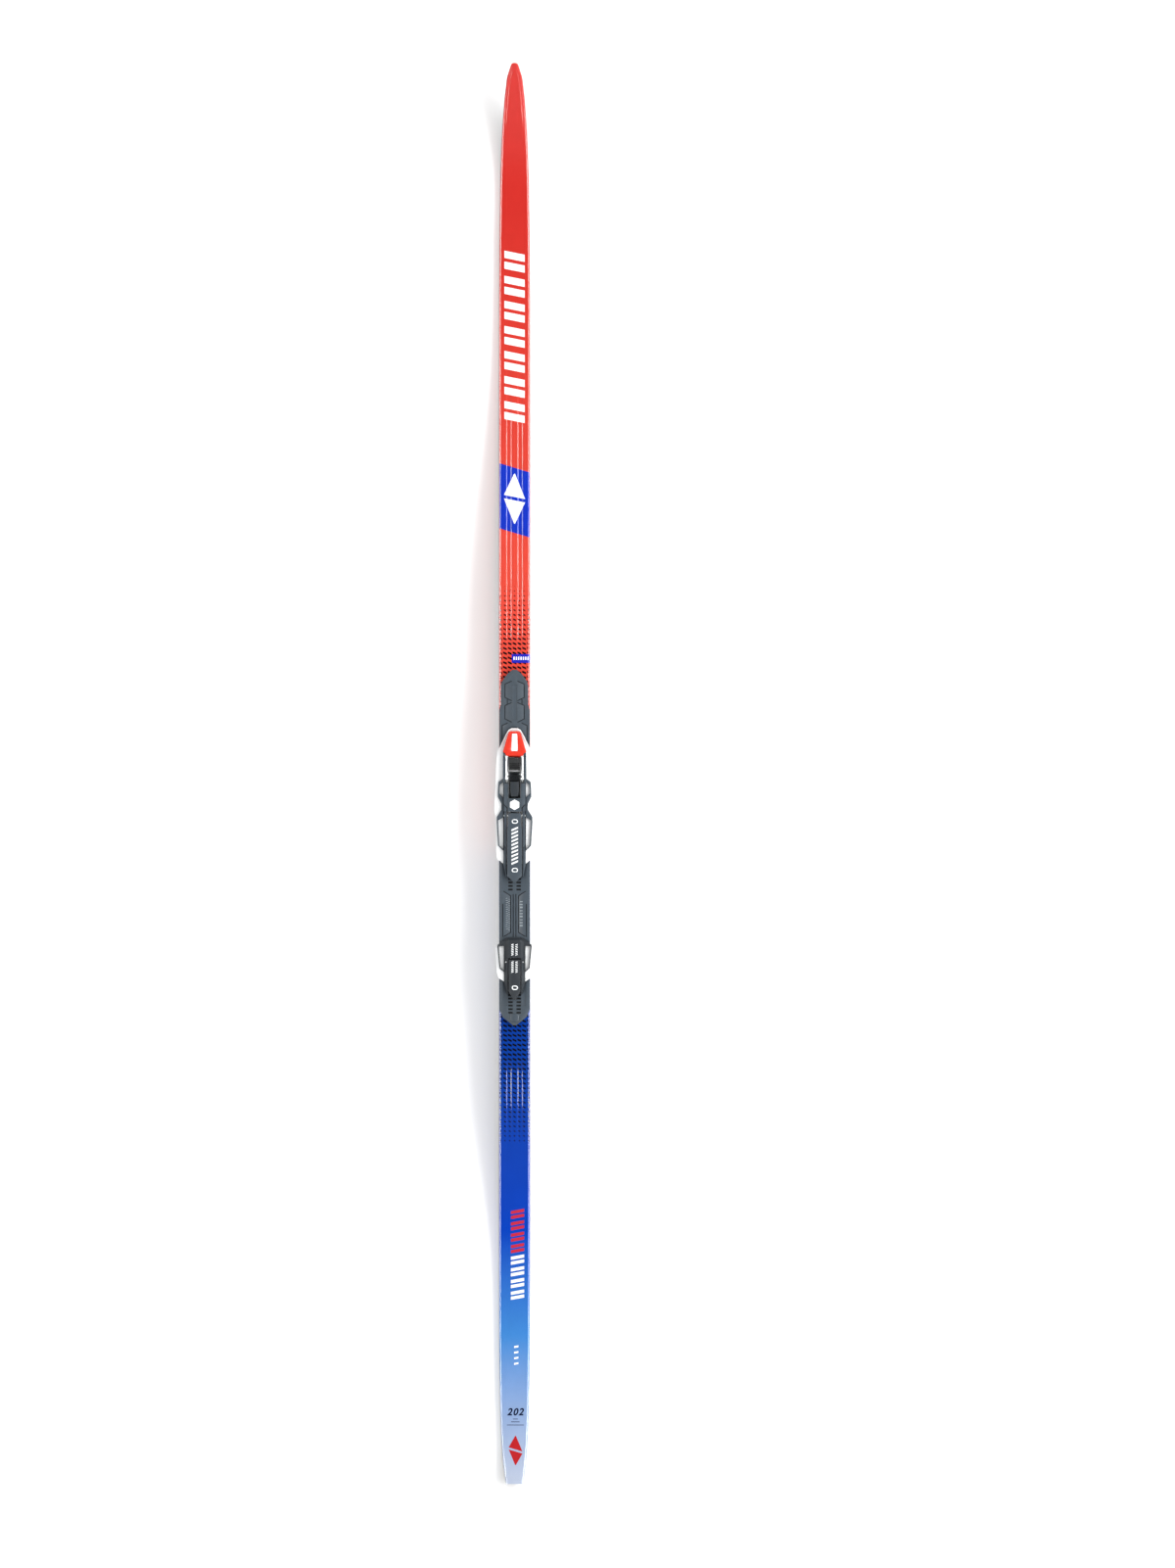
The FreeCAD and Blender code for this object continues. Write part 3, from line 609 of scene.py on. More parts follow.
def build_cap():
    """The moulded cap as one closed shell: rounded edges, two grooves, and a raised field at the tip."""
    sheet = bpy.context.scene.ski_sheet
    wall = 1.2 * MM
    roof = 1.4 * MM
    corner = 0.6 * MM

    def ring(y):
        half = half_width(y)
        foot = CAP_FOOT(y)
        width, radius = edge_sizes(half, sheet)
        turn = [half - radius + radius * math.sin(math.pi / 2 * k / 5) for k in range(5, 0, -1)]
        turn += evenly(half - radius, half - width, 6)[:-1]
        flat = evenly(half - width, width - half, sheet.columns)
        across = turn + flat + [-x for x in reversed(turn)]
        outer = [(x, cap_height(x, y, half, sheet)) for x in across]
        inner = max(half - wall, half * 0.5)
        under = CAP_TOP(y) - roof
        inside = [(-inner, foot), (-inner, under - corner), (-inner * 0.96, under), (inner * 0.96, under),
                  (inner, under - corner), (inner, foot)]
        return [(half, foot)] + outer + [(-half, foot)] + inside

    cap = ring_loft("ski_cap", stations(TAIL_Y, TIP_Y, 0.0042), ring)
    outward(cap)
    smooth(cap, 50)
    dress(cap, MATERIALS["film"])
    settle(cap, MAIN_BODY, "top_sheet_lacquer", "top_cap")


# ------------------------------------------------------------------ base, laminate and skin

def build_base():
    """The running base with its round centre groove, and the edge of the lower laminate above it."""
    thickness = 1.2 * MM
    gap = 0.3 * MM
    chamfer = 0.35 * MM
    pocket_half = SKIN_HIGH[0] + gap
    rear_end, front_end = SKIN_LOW[1] - gap, SKIN_HIGH[1] + gap

    def grooved(y):
        half = half_width(y)
        low = BASE_LOW(y)
        groove = 3.2 * MM * half / FULL_HALF
        depth = 0.85 * MM * (1.0 - 0.95 * smooth_step(y, 0.74, 0.86))
        edge = min(chamfer, half * 0.3)
        turns = [math.pi * k / 8 for k in range(9)]
        arc = [(-groove * math.cos(turn), low + depth * math.sin(turn)) for turn in turns]
        high = low + thickness
        return [(-half + edge, low)] + arc + [(half - edge, low), (half, low + edge), (half, high),
                                              (-half, high), (-half, low + edge)]

    def side(sign):
        def strip(y):
            half = half_width(y)
            low = BASE_LOW(y)
            ring = [(pocket_half, low), (half - chamfer, low), (half, low + chamfer), (half, low + thickness),
                    (pocket_half, low + thickness)]
            return [(sign * x, z) for x, z in ring]
        return strip

    parts = [ring_loft("base_rear", stations(TAIL_Y, rear_end, 0.008), grooved),
             ring_loft("base_front", stations(front_end, TIP_Y, 0.008), grooved),
             ring_loft("base_left", stations(rear_end, front_end, 0.05), side(-1)),
             ring_loft("base_right", stations(rear_end, front_end, 0.05), side(1))]
    base = joined("ski_base", parts)
    outward(base)
    smooth(base, 40)
    dress(base, MATERIALS["base"])
    settle(base, MAIN_BODY, "sintered_base", "running_base")

    def laminate_ring(y):
        half = half_width(y)
        low = BASE_LOW(y) + thickness
        high = CAP_FOOT(y)
        return [(-half, low), (half, low), (half, high), (-half, high)]

    edge = ring_loft("laminate_edge", stations(TAIL_Y, TIP_Y, 0.008), laminate_ring)
    outward(edge)
    smooth(edge, 40)
    dress(edge, MATERIALS["laminate"])
    settle(edge, MAIN_BODY, "glass_laminate", "lower_laminate")


def joined(name, parts):
    """Several meshes as one object; the sources are removed."""
    whole = bmesh.new()
    for part in parts:
        whole.from_mesh(part.data)
        bpy.data.objects.remove(part)
    mesh = bpy.data.meshes.new(name)
    whole.to_mesh(mesh)
    whole.free()
    return make_object(name, mesh)


def group_input(tree, name, kind):
    """Adds a named input to a node group, and returns its identifier."""
    return tree.interface.new_socket(name, in_out="INPUT", socket_type=kind).identifier


def geometry_group(name):
    tree = bpy.data.node_groups.new(name, "GeometryNodeTree")
    tree.interface.new_socket("Geometry", in_out="INPUT", socket_type="NodeSocketGeometry")
    tree.interface.new_socket("Geometry", in_out="OUTPUT", socket_type="NodeSocketGeometry")
    return tree


def run_group(thing, tree, values):
    """Adds the group as a modifier, sets its inputs by identifier, and leaves a plain mesh."""
    modifier = thing.modifiers.new(tree.name, "NODES")
    modifier.node_group = tree
    for identifier, value in values.items():
        modifier[identifier] = value
    return plain(thing)


def build_skin():
    """The mohair skin: a slab with tufts that all lean to the rear, as the nap does."""
    skin = bpy.context.scene.ski_skin
    tree = geometry_group("pile_tufts")
    keys = {"Hair Length": "NodeSocketFloat", "Hair Width": "NodeSocketFloat", "Density": "NodeSocketFloat",
            "Seed": "NodeSocketInt", "Material": "NodeSocketMaterial"}
    names = {key: group_input(tree, key, kind) for key, kind in keys.items()}
    source = add(tree, "NodeGroupInput").outputs
    scatter = add(tree, "GeometryNodeDistributePointsOnFaces", {"Mesh": source["Geometry"],
                  "Density": source["Density"], "Seed": source["Seed"]})
    # One tuft is a blade of two triangles that stands on its root.
    blade = add(tree, "GeometryNodeMeshGrid", {"Size X": source["Hair Width"],
                "Size Y": source["Hair Length"], "Vertices X": 2, "Vertices Y": 2})
    back = add(tree, "ShaderNodeMath", {0: source["Hair Length"], 1: -0.5}, operation="MULTIPLY")
    shift = add(tree, "ShaderNodeCombineXYZ", {"Y": back})
    rooted = add(tree, "GeometryNodeTransform", {"Geometry": blade, "Translation": shift})
    lean = add(tree, "FunctionNodeRandomValue", {0: (0.18, -0.35, -0.5), 1: (0.5, 0.35, 0.5),
               "Seed": source["Seed"]}, data_type="FLOAT_VECTOR")
    size = add(tree, "FunctionNodeRandomValue", {2: 0.6, 3: 1.15, "Seed": source["Seed"]}, data_type="FLOAT")
    tufts = add(tree, "GeometryNodeInstanceOnPoints", {"Points": scatter, "Instance": rooted,
                "Rotation": lean, "Scale": size.outputs[1]})
    solid = add(tree, "GeometryNodeRealizeInstances", {"Geometry": tufts})
    done = add(tree, "GeometryNodeSetMaterial", {"Geometry": solid, "Material": source["Material"]})
    add(tree, "NodeGroupOutput", {0: done})

    x0, y0, z0 = SKIN_LOW
    x1, y1, z1 = SKIN_HIGH
    root = z0 + 0.15 * MM
    corner = 0.3 * MM
    ground = mesh_from("skin_ground", [(x0, y0, root), (x1, y0, root), (x1, y1, root), (x0, y1, root)],
                       [(3, 2, 1, 0)])
    area = (x1 - x0) * (y1 - y0)
    values = {"Hair Length": skin.hair_length, "Hair Width": skin.hair_width, "Density": skin.hairs / area,
              "Seed": skin.seed, "Material": MATERIALS["mohair"]}
    tufted = run_group(ground, tree, {names[key]: value for key, value in values.items()})

    def slab_ring(y):
        return [(x0 + corner, root), (x1 - corner, root), (x1, root + corner), (x1, z1), (x0, z1),
                (x0, root + corner)]

    slab = ring_loft("skin_slab", evenly(y0, y1, 60), slab_ring)
    outward(slab)
    pile = joined("skin_pile_cloth", [slab, tufted])
    smooth(pile, 60)
    dress(pile, MATERIALS["mohair"])
    settle(pile, MAIN_BODY, "mohair_pile", "skin_pile")


# ------------------------------------------------------------------ printed marks

def quad_grid(corners, across, along, tree, lift, depth):
    """Points and faces of a thin closed slab over four plan corners, laid on a surface."""
    (ax, ay), (bx, by), (cx, cy), (dx, dy) = corners
    points = []
    for layer in (lift, lift - depth):
        for v in range(along + 1):
            t = v / along
            for u in range(across + 1):
                s = u / across
                x = (1 - t) * ((1 - s) * ax + s * bx) + t * ((1 - s) * dx + s * cx)
                y = (1 - t) * ((1 - s) * ay + s * by) + t * ((1 - s) * dy + s * cy)
                points.append([x, y, drop(tree, x, y), layer])
    known = [p[2] for p in points if p[2] is not None]
    points = [(x, y, (z if z is not None else min(known)) + layer) for x, y, z, layer in points]
    wide = across + 1
    below = wide * (along + 1)
    faces = []
    for v in range(along):
        for u in range(across):
            a = v * wide + u
            faces.append((a, a + 1, a + 1 + wide, a + wide))
            faces.append((below + a + wide, below + a + 1 + wide, below + a + 1, below + a))
    rim = [u for u in range(wide)] + [v * wide + across for v in range(1, along + 1)]
    rim += [along * wide + u for u in range(across - 1, -1, -1)] + [v * wide for v in range(along - 1, 0, -1)]
    for a, b in zip(rim, rim[1:] + rim[:1]):
        faces.append((a, below + a, below + b, b))
    return points, faces


def lay_quads(name, quads, target, material, body, slot, cell=1.0 * MM, lift=None):
    """A mark of plan quads laid on a surface, as thin closed slabs. A cell is six times as long as wide."""
    tree = tree_of(target)
    lift = bpy.context.scene.ski_sheet.ink_lift if lift is None else lift
    points = []
    faces = []
    for corners in quads:
        (ax, ay), (bx, by), (cx, cy), (dx, dy) = corners
        across = max(1, round(max(abs(bx - ax), abs(cx - dx), 0.1 * MM) / cell))
        along = max(1, round(max(abs(dy - ay), abs(cy - by), 0.1 * MM) / (cell * 6)))
        new_points, new_faces = quad_grid(corners, across, along, tree, lift, INK_DEPTH)
        start = len(points)
        points += new_points
        faces += [tuple(i + start for i in face) for face in new_faces]
    mark = mesh_from(name, points, faces)
    outward(mark)
    smooth(mark, 60)
    dress(mark, material)
    settle(mark, body, slot)


def slanted(x0, x1, y0, y1, slope):
    """A parallelogram with upright sides: slope is the rise of its ends for each unit across."""
    return [(x0, y0), (x1, y0 + slope * (x1 - x0)), (x1, y1 + slope * (x1 - x0)), (x0, y1)]


def scaled(quads):
    return [[(x * MM, y * MM) for x, y in quad] for quad in quads]


def lay_number(name, text, size, centre, target, material, body, slot):
    """Slanted plain numerals, a little bold and spaced, as a thin closed mesh laid on a surface."""
    face = bpy.data.curves.new(name, "FONT")
    face.body = text
    face.size = 1.0
    face.shear = 0.26
    face.offset = 0.03
    face.extrude = 0.03
    face.space_character = 1.2
    face.align_x = "CENTER"
    face.align_y = "CENTER"
    face.resolution_u = 6
    holder = make_object(name, face)
    mesh = bpy.data.meshes.new_from_object(holder.evaluated_get(bpy.context.evaluated_depsgraph_get()))
    bpy.data.objects.remove(holder)
    tree = tree_of(target)
    xs = [v.co.x for v in mesh.vertices]
    ys = [v.co.y for v in mesh.vertices]
    middle = Vector(((min(xs) + max(xs)) / 2, (min(ys) + max(ys)) / 2, 0))
    wide, tall = size
    lift = bpy.context.scene.ski_sheet.ink_lift
    for vertex in mesh.vertices:
        local = vertex.co - middle
        x = centre[0] + local.x * wide / (max(xs) - min(xs))
        y = centre[1] + local.y * tall / (max(ys) - min(ys))
        height = drop(tree, x, y) or 0.0
        vertex.co = (x, y, height + (lift if vertex.co.z > 0 else -lift))
    mark = make_object(name, mesh)
    outward(mark)
    dress(mark, material)
    settle(mark, body, slot)


def lay_ring(name, centre, size, stroke, target, material, body, slot):
    """The figure 0 as a squared-off oval ring of small quads, as on a dial. Sizes in mm."""
    count = 20
    power = 2.6
    quads = []
    for step in range(count):
        corners = []
        for turn, shrink in ((step, 0.0), (step + 1, 0.0), (step + 1, stroke), (step, stroke)):
            angle = 2 * math.pi * turn / count
            across, along_y = math.cos(angle), math.sin(angle)
            push = (abs(across) ** power + abs(along_y) ** power) ** (-1 / power)
            corners.append((centre[0] + across * push * (size[0] / 2 - shrink),
                            centre[1] + along_y * push * (size[1] / 2 - shrink)))
        quads.append(corners)
    lay_quads(name, scaled(quads), target, material, body, slot, 1.0 * MM, 0.08 * MM)


def dash_group():
    """The dashes' node group and its inputs' identifiers by name."""
    tree = geometry_group("dash_rows")
    keys = {"Pitch": "NodeSocketFloat", "Columns": "NodeSocketInt", "Rows": "NodeSocketInt",
            "First Row": "NodeSocketFloat", "Full Until": "NodeSocketFloat", "Gone At": "NodeSocketFloat",
            "Lift": "NodeSocketFloat", "Sheet": "NodeSocketObject", "Material": "NodeSocketMaterial",
            "Dash Length": "NodeSocketFloat", "Dash Height": "NodeSocketFloat", "Slope": "NodeSocketFloat",
            "Depth": "NodeSocketFloat"}
    names = {key: group_input(tree, key, kind) for key, kind in keys.items()}
    source = add(tree, "NodeGroupInput").outputs

    def calc(kind, first, second=0.0):
        return add(tree, "ShaderNodeMath", {0: first, 1: second}, operation=kind)

    index = add(tree, "GeometryNodeInputIndex")
    row = calc("FLOOR", calc("DIVIDE", calc("ADD", index, 0.5), source["Columns"]))
    column = calc("SUBTRACT", index, calc("MULTIPLY", row, source["Columns"]))
    middle = calc("DIVIDE", calc("SUBTRACT", source["Columns"], 1.0), 2.0)
    x = calc("MULTIPLY", calc("SUBTRACT", column, middle), source["Pitch"])
    y = calc("ADD", source["First Row"], calc("MULTIPLY", row, source["Pitch"]))
    total = calc("MULTIPLY", source["Columns"], source["Rows"])
    where = add(tree, "ShaderNodeCombineXYZ", {"X": x, "Y": y, "Z": WELL_ABOVE})
    spots = add(tree, "GeometryNodePoints", {"Count": total, "Position": where})
    here = add(tree, "ShaderNodeSeparateXYZ", {0: add(tree, "GeometryNodeInputPosition")})
    fade = add(tree, "ShaderNodeMapRange", {"Value": here.outputs["Y"], "From Min": source["Gone At"],
               "From Max": source["Full Until"]})
    # A dash shrinks more across the ski than along it.
    scale = add(tree, "ShaderNodeCombineXYZ", {"X": calc("POWER", fade, 0.55), "Y": calc("POWER", fade, 0.4),
                "Z": 1.0})
    grid = add(tree, "GeometryNodeMeshGrid", {"Size X": source["Dash Length"],
               "Size Y": source["Dash Height"], "Vertices X": 5, "Vertices Y": 2})
    local = add(tree, "ShaderNodeSeparateXYZ", {0: add(tree, "GeometryNodeInputPosition")})
    shear = add(tree, "ShaderNodeCombineXYZ", {"Y": calc("MULTIPLY", local.outputs["X"], source["Slope"])})
    dash = add(tree, "GeometryNodeSetPosition", {"Geometry": grid, "Offset": shear})
    copies = add(tree, "GeometryNodeInstanceOnPoints", {"Points": spots, "Instance": dash, "Scale": scale})
    solid = add(tree, "GeometryNodeRealizeInstances", {"Geometry": copies})
    film = add(tree, "GeometryNodeObjectInfo", {"Object": source["Sheet"]}, transform_space="RELATIVE")
    ray = add(tree, "GeometryNodeRaycast", {"Target Geometry": film.outputs["Geometry"],
              "Ray Direction": (0.0, 0.0, -1.0), "Ray Length": 0.5})
    missed = add(tree, "FunctionNodeBooleanMath", {0: ray.outputs["Is Hit"]}, operation="NOT")
    kept = add(tree, "GeometryNodeDeleteGeometry", {"Geometry": solid, "Selection": missed})
    up = add(tree, "ShaderNodeCombineXYZ", {"Z": source["Lift"]})
    laid = add(tree, "GeometryNodeSetPosition", {"Geometry": kept, "Position": ray.outputs["Hit Position"],
               "Offset": up})
    down = add(tree, "ShaderNodeCombineXYZ", {"Z": -1.0})
    thick = add(tree, "GeometryNodeExtrudeMesh", {"Mesh": laid, "Offset": down,
                "Offset Scale": source["Depth"], "Individual": False}, mode="FACES")
    both = add(tree, "GeometryNodeJoinGeometry", {0: add(tree, "GeometryNodeFlipFaces", {"Mesh": thick})})
    tree.links.new(laid.outputs[0], both.inputs[0])
    welded = add(tree, "GeometryNodeMergeByDistance", {"Geometry": both, "Distance": 1e-7})
    done = add(tree, "GeometryNodeSetMaterial", {"Geometry": welded, "Material": source["Material"]})
    add(tree, "NodeGroupOutput", {0: done})
    return tree, names


def build_dashes():
    """Rows of slanted dashes that shrink away from the binding, by geometry nodes."""
    sheet = bpy.context.scene.ski_sheet
    tree, names = dash_group()
    speck = 1e-10
    # Name, rows, first row, where dashes are still full and where they are gone, in mm ahead of mid length
    fields = (("dashes_front", 42, 62.0, 170.0, 268.0),
              ("dashes_rear", 34, -522.0, -400.0, -545.0))
    for name, rows, first, full, gone in fields:
        holder = make_object(name, bpy.data.meshes.new(name))
        values = {"Pitch": sheet.dash_pitch, "Columns": 7, "Rows": rows, "First Row": first * MM,
                  "Full Until": full * MM, "Gone At": gone * MM, "Lift": sheet.ink_lift, "Depth": INK_DEPTH,
                  "Sheet": bpy.data.objects["ski_cap"], "Material": MATERIALS["black_ink"],
                  "Dash Length": 5.6 * MM, "Dash Height": 2.9 * MM, "Slope": -0.42}
        run_group(holder, tree, {names[key]: value for key, value in values.items()})
        edit = bmesh.new()
        edit.from_mesh(holder.data)
        # Dashes that have shrunk to nothing leave specks.
        bmesh.ops.delete(edit, geom=[f for f in edit.faces if f.calc_area() < speck], context="FACES")
        edit.to_mesh(holder.data)
        edit.free()
        outward(holder)
        dress(holder, MATERIALS["black_ink"])
        settle(holder, MAIN_BODY, "top_sheet_lacquer")


def bar_cells(first, cell, count, x0, x1, thick, slope, bars=1, step=0.0):
    """Groups of slanted bars along the ski, in mm: generic blocks in place of words."""
    quads = []
    for index in range(count):
        for bar in range(bars):
            high = first - index * cell - bar * (thick + step)
            quads.append(slanted(x0, x1, high - thick, high, slope))
    return quads


def split_lozenge(centre_x, low, high, half):
    """A tall lozenge in two halves with a slanted gap, in mm: a neutral ornament."""
    middle = (low + high) / 2
    gap = (high - low) * 0.035
    slant = 3.0
    point = 0.6
    left, right = centre_x - half, centre_x + half
    upper = [(left, middle + gap + slant), (right, middle + gap - slant), (centre_x + point, high),
             (centre_x - point, high)]
    lower = [(centre_x - point, low), (centre_x + point, low), (right, middle - gap - slant),
             (left, middle - gap + slant)]
    return [upper, lower]


def build_marks():
    """The printed bars, band, tag, lozenges and length numerals. Places and sizes are in mm."""
    cap = bpy.data.objects["ski_cap"]
    slot = "top_sheet_lacquer"
    lift = bpy.context.scene.ski_sheet.ink_lift

    def lay(name, quads, ink, layer=1.0, cell=0.7):
        lay_quads(name, scaled(quads), cap, MATERIALS[ink], MAIN_BODY, slot, cell * MM, lift * layer)

    lay("front_bars", bar_cells(first=743.0, cell=35.6, count=7, x0=-14.4, x1=14.4, thick=10.2, slope=-0.2,
                                bars=2, step=5.2), "white_ink")
    band_half = 21.9
    band = [slanted(-band_half, band_half, 348.5, 441.0, -13.2 / (2 * band_half))]
    lay("blue_band", band, "blue_ink", 1.0, 0.45)
    lay("band_lozenge", split_lozenge(0.0, 355.0, 426.0, 15.0), "white_ink", 2.0, 0.45)
    lay("front_tag", [slanted(-4.0, band_half, 157.2, 169.6, 0.0)], "violet_ink", 2.0, 0.45)
    ticks = [slanted(-1.6 + 3.3 * k, 0.2 + 3.3 * k, 161.2, 165.8, 0.15) for k in range(7)]
    lay("tag_ticks", ticks, "white_ink", 3.0, 0.6)
    rear = {"count": 4, "x0": -5.2, "x1": 13.6, "thick": 4.4, "slope": 0.18, "bars": 2, "step": 2.6}
    lay("rear_red_bars", bar_cells(first=-622.0, cell=16.2, **rear), "red_ink")
    lay("rear_white_bars", bar_cells(first=-687.0, cell=16.6, **rear), "white_ink")
    small = bar_cells(first=-814.0, cell=8.0, count=4, x0=-0.6, x1=5.4, thick=2.6, slope=0.18)
    lay("small_white_bars", small, "white_ink")
    centre = 1.2
    halves = ((3.4, -918.0), (6.0, -922.0), (12.0, -926.5))
    lines = [slanted(centre - half, centre + half, y, y + 0.9, 0.0) for half, y in halves]
    lay("tail_lines", lines, "navy_ink")
    lay("tail_lozenge", split_lozenge(1.4, -983.0, -941.5, 9.8), "mark_ink", 1.0, 0.6)
    lay_number("length_numerals", "202", (24.0 * MM, 10.6 * MM), (1.4 * MM, -907.3 * MM), cap,
               MATERIALS["navy_ink"], MAIN_BODY, slot)


# ------------------------------------------------------------------ binding

def merged(node, name):
    """A copy of a CAD piece with its corners welded."""
    edit = bmesh.new()
    edit.from_mesh(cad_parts[node].data)
    bmesh.ops.remove_doubles(edit, verts=edit.verts, dist=2e-6)
    mesh = bpy.data.meshes.new(name)
    edit.to_mesh(mesh)
    edit.free()
    return make_object(name, mesh)


def turned(node, name, body, slot, material):
    """A round steel part: smooth over its facets, with its ends left sharp."""
    piece = merged(node, name)
    smooth(piece, 35)
    dress(piece, MATERIALS[material])
    settle(piece, body, slot, node)


def moulded(node, name, body, slot, material, edge=0.25 * MM, angle=28.0):
    """A merged copy of a CAD piece whose edges get the small radius that a mould leaves."""
    piece = merged(node, name)
    edit = bmesh.new()
    edit.from_mesh(piece.data)
    bmesh.ops.dissolve_limit(edit, angle_limit=math.radians(0.4), verts=edit.verts, edges=edit.edges)
    edit.to_mesh(piece.data)
    edit.free()
    bevel = piece.modifiers.new("mould_radius", "BEVEL")
    bevel.width = edge
    bevel.segments = 2
    bevel.limit_method = "ANGLE"
    bevel.angle_limit = math.radians(angle)
    bevel.use_clamp_overlap = True
    plain(piece)
    smooth(piece, 40)
    dress(piece, MATERIALS[material])
    settle(piece, body, slot, node)
    return piece


# Width and length of the 0 marks and width of their stroke, in mm
ZERO_SIZE = (8.8, 6.4)
ZERO_STROKE = 1.35


def build_plate():
    """The rail plate and its end plug, with small generic moulding marks between the units."""
    plate = moulded("binding_plate", "rail_plate", "ski", "charcoal_plastic", "charcoal", 0.22 * MM)
    moulded("plate_end_plug", "end_plug", "ski", "charcoal_plastic", "lock", 0.3 * MM)
    ticks = []
    for k in range(15):
        y = -178.0 - 3.1 * k
        ticks.append(slanted(-12.4, -10.0 + 0.5 * (k % 3), y, y + 0.8, 0.1))
        ticks.append(slanted(-8.8, -6.8 + 0.4 * (k % 2), y - 1.2, y - 0.5, 0.1))
    for k in range(9):
        y = -183.0 - 4.3 * k
        ticks.append(slanted(7.4, 11.6, y, y + 1.5 + 0.5 * (k % 3), 0.0))
    lay_quads("plate_marks", scaled(ticks), plate, MATERIALS["grey_ink"], "ski", "charcoal_plastic", 2 * MM)


def build_toe():
    """The toe unit: flange, housing, badge, jaws, cover and flexor, with its lock lever."""
    unit = "toe_carriage"
    moulded("toe_flange", "toe_flange_skin", unit, "white_plastic", "white", 0.35 * MM)
    moulded("toe_housing", "toe_housing_skin", unit, "charcoal_plastic", "charcoal", 0.3 * MM)
    moulded("toe_badge", "hex_badge", unit, "white_plastic", "white", 0.2 * MM)
    moulded("jaw_cover", "jaw_cover_skin", unit, "charcoal_plastic", "cover", 0.4 * MM)
    moulded("flexor", "rubber_flexor", unit, "flexor_rubber", "rubber", 0.4 * MM)
    moulded("fixed_jaw", "fixed_jaw_steel", unit, "jaw_steel", "sheet_steel", 0.2 * MM)
    moulded("moving_jaw", "moving_jaw_steel", "jaw", "jaw_steel", "sheet_steel", 0.2 * MM)
    lock = moulded("toe_lock_lever", "toe_lock_skin", "toe_lock", "lock_plastic", "lock", 0.45 * MM)
    moulded("toe_lock_teeth", "toe_lock_comb", "toe_lock", "jaw_steel", "sheet_steel", 0.1 * MM)
    ink = (lock, MATERIALS["pad_white"], "toe_lock", "lock_plastic")
    lay_ring("toe_scale_front", (0.4, -68.2), ZERO_SIZE, ZERO_STROKE, *ink)
    lay_ring("toe_scale_rear", (0.4, -137.4), ZERO_SIZE, ZERO_STROKE, *ink)
    bars = bar_cells(first=-79.5, cell=5.3, count=10, x0=-4.4, x1=5.0, thick=2.7, slope=0.42)
    lay_quads("toe_hatch", scaled(bars), *ink, 1.2 * MM)


def build_heel():
    """The heel unit: flange, housing and lock lever with its scale mark."""
    unit = "heel_carriage"
    moulded("heel_flange", "heel_flange_skin", unit, "white_plastic", "white", 0.35 * MM)
    heel = moulded("heel_housing", "heel_housing_skin", unit, "charcoal_plastic", "cover", 0.3 * MM)
    lock = moulded("heel_lock_lever", "heel_lock_skin", "heel_lock", "lock_plastic", "cover", 0.45 * MM)
    moulded("heel_lock_teeth", "heel_lock_comb", "heel_lock", "jaw_steel", "sheet_steel", 0.1 * MM)
    ink = (lock, MATERIALS["pad_white"], "heel_lock", "lock_plastic")
    lay_ring("heel_scale", (0.4, -304.6), ZERO_SIZE, ZERO_STROKE, *ink)
    ticks = []
    for k in range(7):
        y = -244.5 - 2.4 * k
        ticks.append(slanted(-4.6, -1.4, y, y + 1.3, 0.35))
        ticks.append(slanted(1.2, 4.4, y, y + 1.1, 0.35))
    lay_quads("heel_hatch_front", scaled(ticks), heel, MATERIALS["pad_white"], unit, "charcoal_plastic")
    moved = [[(x, y - 24.6) for x, y in quad] for quad in ticks]
    lay_quads("heel_hatch_rear", scaled(moved), *ink)


def build_lever():
    """The opening lever with its white inlay, and the steel rods and pins."""
    moulded("lever", "opening_lever", "lever", "lever_plastic", "red", 0.5 * MM)
    moulded("lever_inlay", "lever_window", "lever", "white_plastic", "white", 0.2 * MM)
    bodies = {"rod_right": "bail", "rod_left": "bail", "jaw_pin": "bail", "crank_pin": "lever",
              "lever_axle": "toe_carriage", "toe_lock_pin": "toe_carriage", "heel_lock_pin": "heel_carriage"}
    for node, body in bodies.items():
        turned(node, node + "_steel", body, "rod_steel", "wire")


def finish_hidden():
    """The layers inside the ski keep their CAD shape and get their own finish."""
    finishes = {"ski_core": "wood", "upper_laminate": "laminate", "skin_backing": "adhesive"}
    for node, material in finishes.items():
        dress(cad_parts[node], MATERIALS[material])


# ------------------------------------------------------------------ stage

LIGHT_LENGTH = 3.4
# How bright the surround is, by height from the horizon at 0 to straight above at 1
SURROUND = ((0.0, 1.0), (0.70, 0.96), (0.90, 0.62), (1.0, 0.08))


def strip_light(name, x, z, wide, power, glints_only):
    """A long soft light beside the ski, aimed at its middle."""
    lamp = bpy.data.lights.new(name, "AREA")
    lamp.shape = "RECTANGLE"
    lamp.size = wide
    lamp.size_y = LIGHT_LENGTH
    lamp.energy = power
    holder = bpy.data.objects.new(name, lamp)
    bpy.context.scene.collection.objects.link(holder)
    holder.location = (x, 0.0, z)
    holder.rotation_euler = (0.0, math.atan2(x, z), 0.0)
    holder.visible_camera = False
    holder.visible_diffuse = not glints_only
    holder.visible_glossy = glints_only


def studio_world():
    """An even white surround that is darker straight above, where the camera hangs."""
    world = bpy.data.worlds.new("studio")
    world.use_nodes = True
    tree = world.node_tree
    tree.nodes.clear()
    direction = add(tree, "ShaderNodeTexCoord").outputs["Generated"]
    height = add(tree, "ShaderNodeSeparateXYZ", {0: direction}).outputs["Z"]
    glow = graded(tree, height, [(place, (grey, grey, grey, 1.0)) for place, grey in SURROUND])
    surround = add(tree, "ShaderNodeBackground", {"Color": glow, "Strength": 1.24})
    add(tree, "ShaderNodeOutputWorld", {0: surround})
    bpy.context.scene.world = world


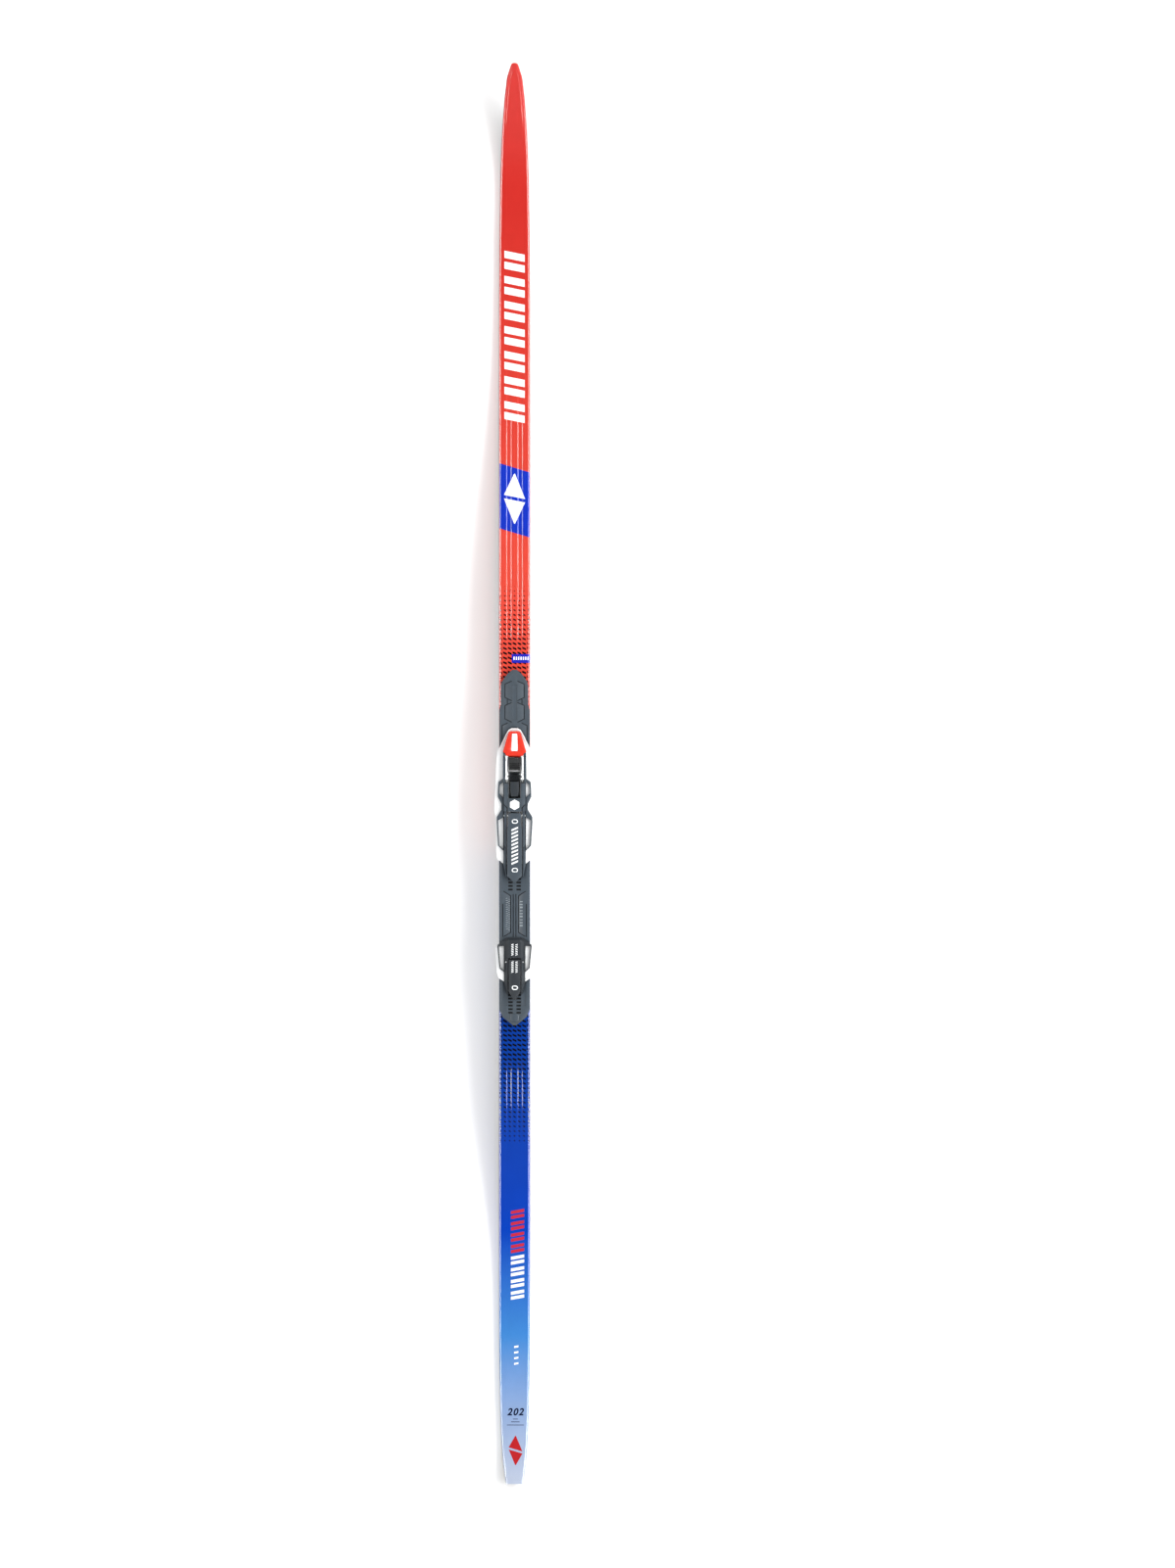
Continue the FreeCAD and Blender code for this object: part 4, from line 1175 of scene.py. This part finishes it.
def build_stage():
    """A pale floor, a white surround, a key light, two strips for glints, and a camera straight above."""
    settings = bpy.context.scene.ski_stage
    reach = 9.0
    # Just under the ski, so that the floor and the running base don't share a plane
    low = CAD_BOX[0][2] - 0.2 * MM
    floor = mesh_from("floor", [(-reach, -reach, low), (reach, -reach, low), (reach, reach, low),
                                (-reach, reach, low)], [(0, 1, 2, 3)])
    tint = tuple(settings.floor_colour) + (1.0,)

    def shader(tree, spot):
        cloud = cloudy(tree, spot, 400.0)
        return {"Base Color": two_tints(tree, cloud, 0.3, 0.7, tint, linear("#f0f0f0"), 0.04),
                "Roughness": 0.9, "Specular IOR Level": 0.1,
                "Emission Color": linear("#ffffff"), "Emission Strength": 0.05}

    dress(floor, new_material("pale_floor", shader))
    studio_world()
    strip_light("key_light", x=1.30, z=1.00, wide=0.80, power=38.0, glints_only=False)
    strip_light("right_strip", x=0.80, z=0.80, wide=0.18, power=54.0, glints_only=True)
    strip_light("left_strip", x=-0.80, z=0.80, wide=0.18, power=54.0, glints_only=True)
    bpy.context.scene.view_settings.view_transform = "Standard"
    lens = bpy.data.cameras.new("camera")
    lens.type = "ORTHO"
    lens.ortho_scale = settings.view_height
    lens.clip_end = 100.0
    camera = bpy.data.objects.new("camera", lens)
    camera.location = (settings.view_x, settings.view_y, 4.0)
    bpy.context.scene.collection.objects.link(camera)
    bpy.context.scene.camera = camera


# ------------------------------------------------------------------ operators and panel

def operator(idname, label, text, work):
    """An operator class that runs one building function."""
    def execute(self, context):
        work()
        return {"FINISHED"}
    return type("SKI_OT_" + idname, (bpy.types.Operator,), {
        "bl_idname": "ski." + idname, "bl_label": label, "__doc__": text, "execute": execute})


STEPS = (
    operator("materials", "Make finishes", "Makes every finish of the ski and its binding", make_materials),
    operator("cap", "Build cap", "Builds the moulded cap with its grooves", build_cap),
    operator("base", "Build base", "Builds the running base and the laminate's edge", build_base),
    operator("skin", "Build skin", "Builds the mohair skin in the kick zone", build_skin),
    operator("dashes", "Print dashes", "Prints the rows of dashes beside the binding", build_dashes),
    operator("marks", "Print marks", "Prints the bars, the band, the tag and the numerals", build_marks),
    operator("plate", "Build rail plate", "Builds the rail plate and its end plug", build_plate),
    operator("toe", "Build toe unit", "Builds the toe unit and its lock", build_toe),
    operator("heel", "Build heel unit", "Builds the heel unit and its lock", build_heel),
    operator("lever", "Build lever", "Builds the opening lever, the rods and the pins", build_lever),
    operator("hidden", "Finish hidden layers", "Gives the layers inside the ski their finish", finish_hidden),
    operator("stage", "Build stage", "Makes the floor, the lights and the camera", build_stage),
)


class SKI_PT_build(bpy.types.Panel):
    """Lists the building steps and their sizes."""
    bl_idname = "SKI_PT_build"
    bl_label = "Cross country ski"
    bl_space_type = "VIEW_3D"
    bl_region_type = "UI"
    bl_category = "Ski"

    def draw(self, context):
        for group in (context.scene.ski_sheet, context.scene.ski_skin, context.scene.ski_stage):
            box = self.layout.box()
            for key in group.bl_rna.properties.keys():
                if key not in ("rna_type", "name"):
                    box.prop(group, key)
        for step in STEPS:
            self.layout.operator(step.bl_idname)


CLASSES = (SheetSettings, SkinSettings, StageSettings, SKI_PT_build) + STEPS


def register():
    for item in CLASSES:
        bpy.utils.register_class(item)
    bpy.types.Scene.ski_sheet = PointerProperty(type=SheetSettings)
    bpy.types.Scene.ski_skin = PointerProperty(type=SkinSettings)
    bpy.types.Scene.ski_stage = PointerProperty(type=StageSettings)


def unregister():
    for name in ("ski_sheet", "ski_skin", "ski_stage"):
        delattr(bpy.types.Scene, name)
    for item in reversed(CLASSES):
        bpy.utils.unregister_class(item)


def main():
    register()
    for step in STEPS:
        getattr(bpy.ops.ski, step.bl_idname.split(".")[1])()


if __name__ == "__main__":
    main()
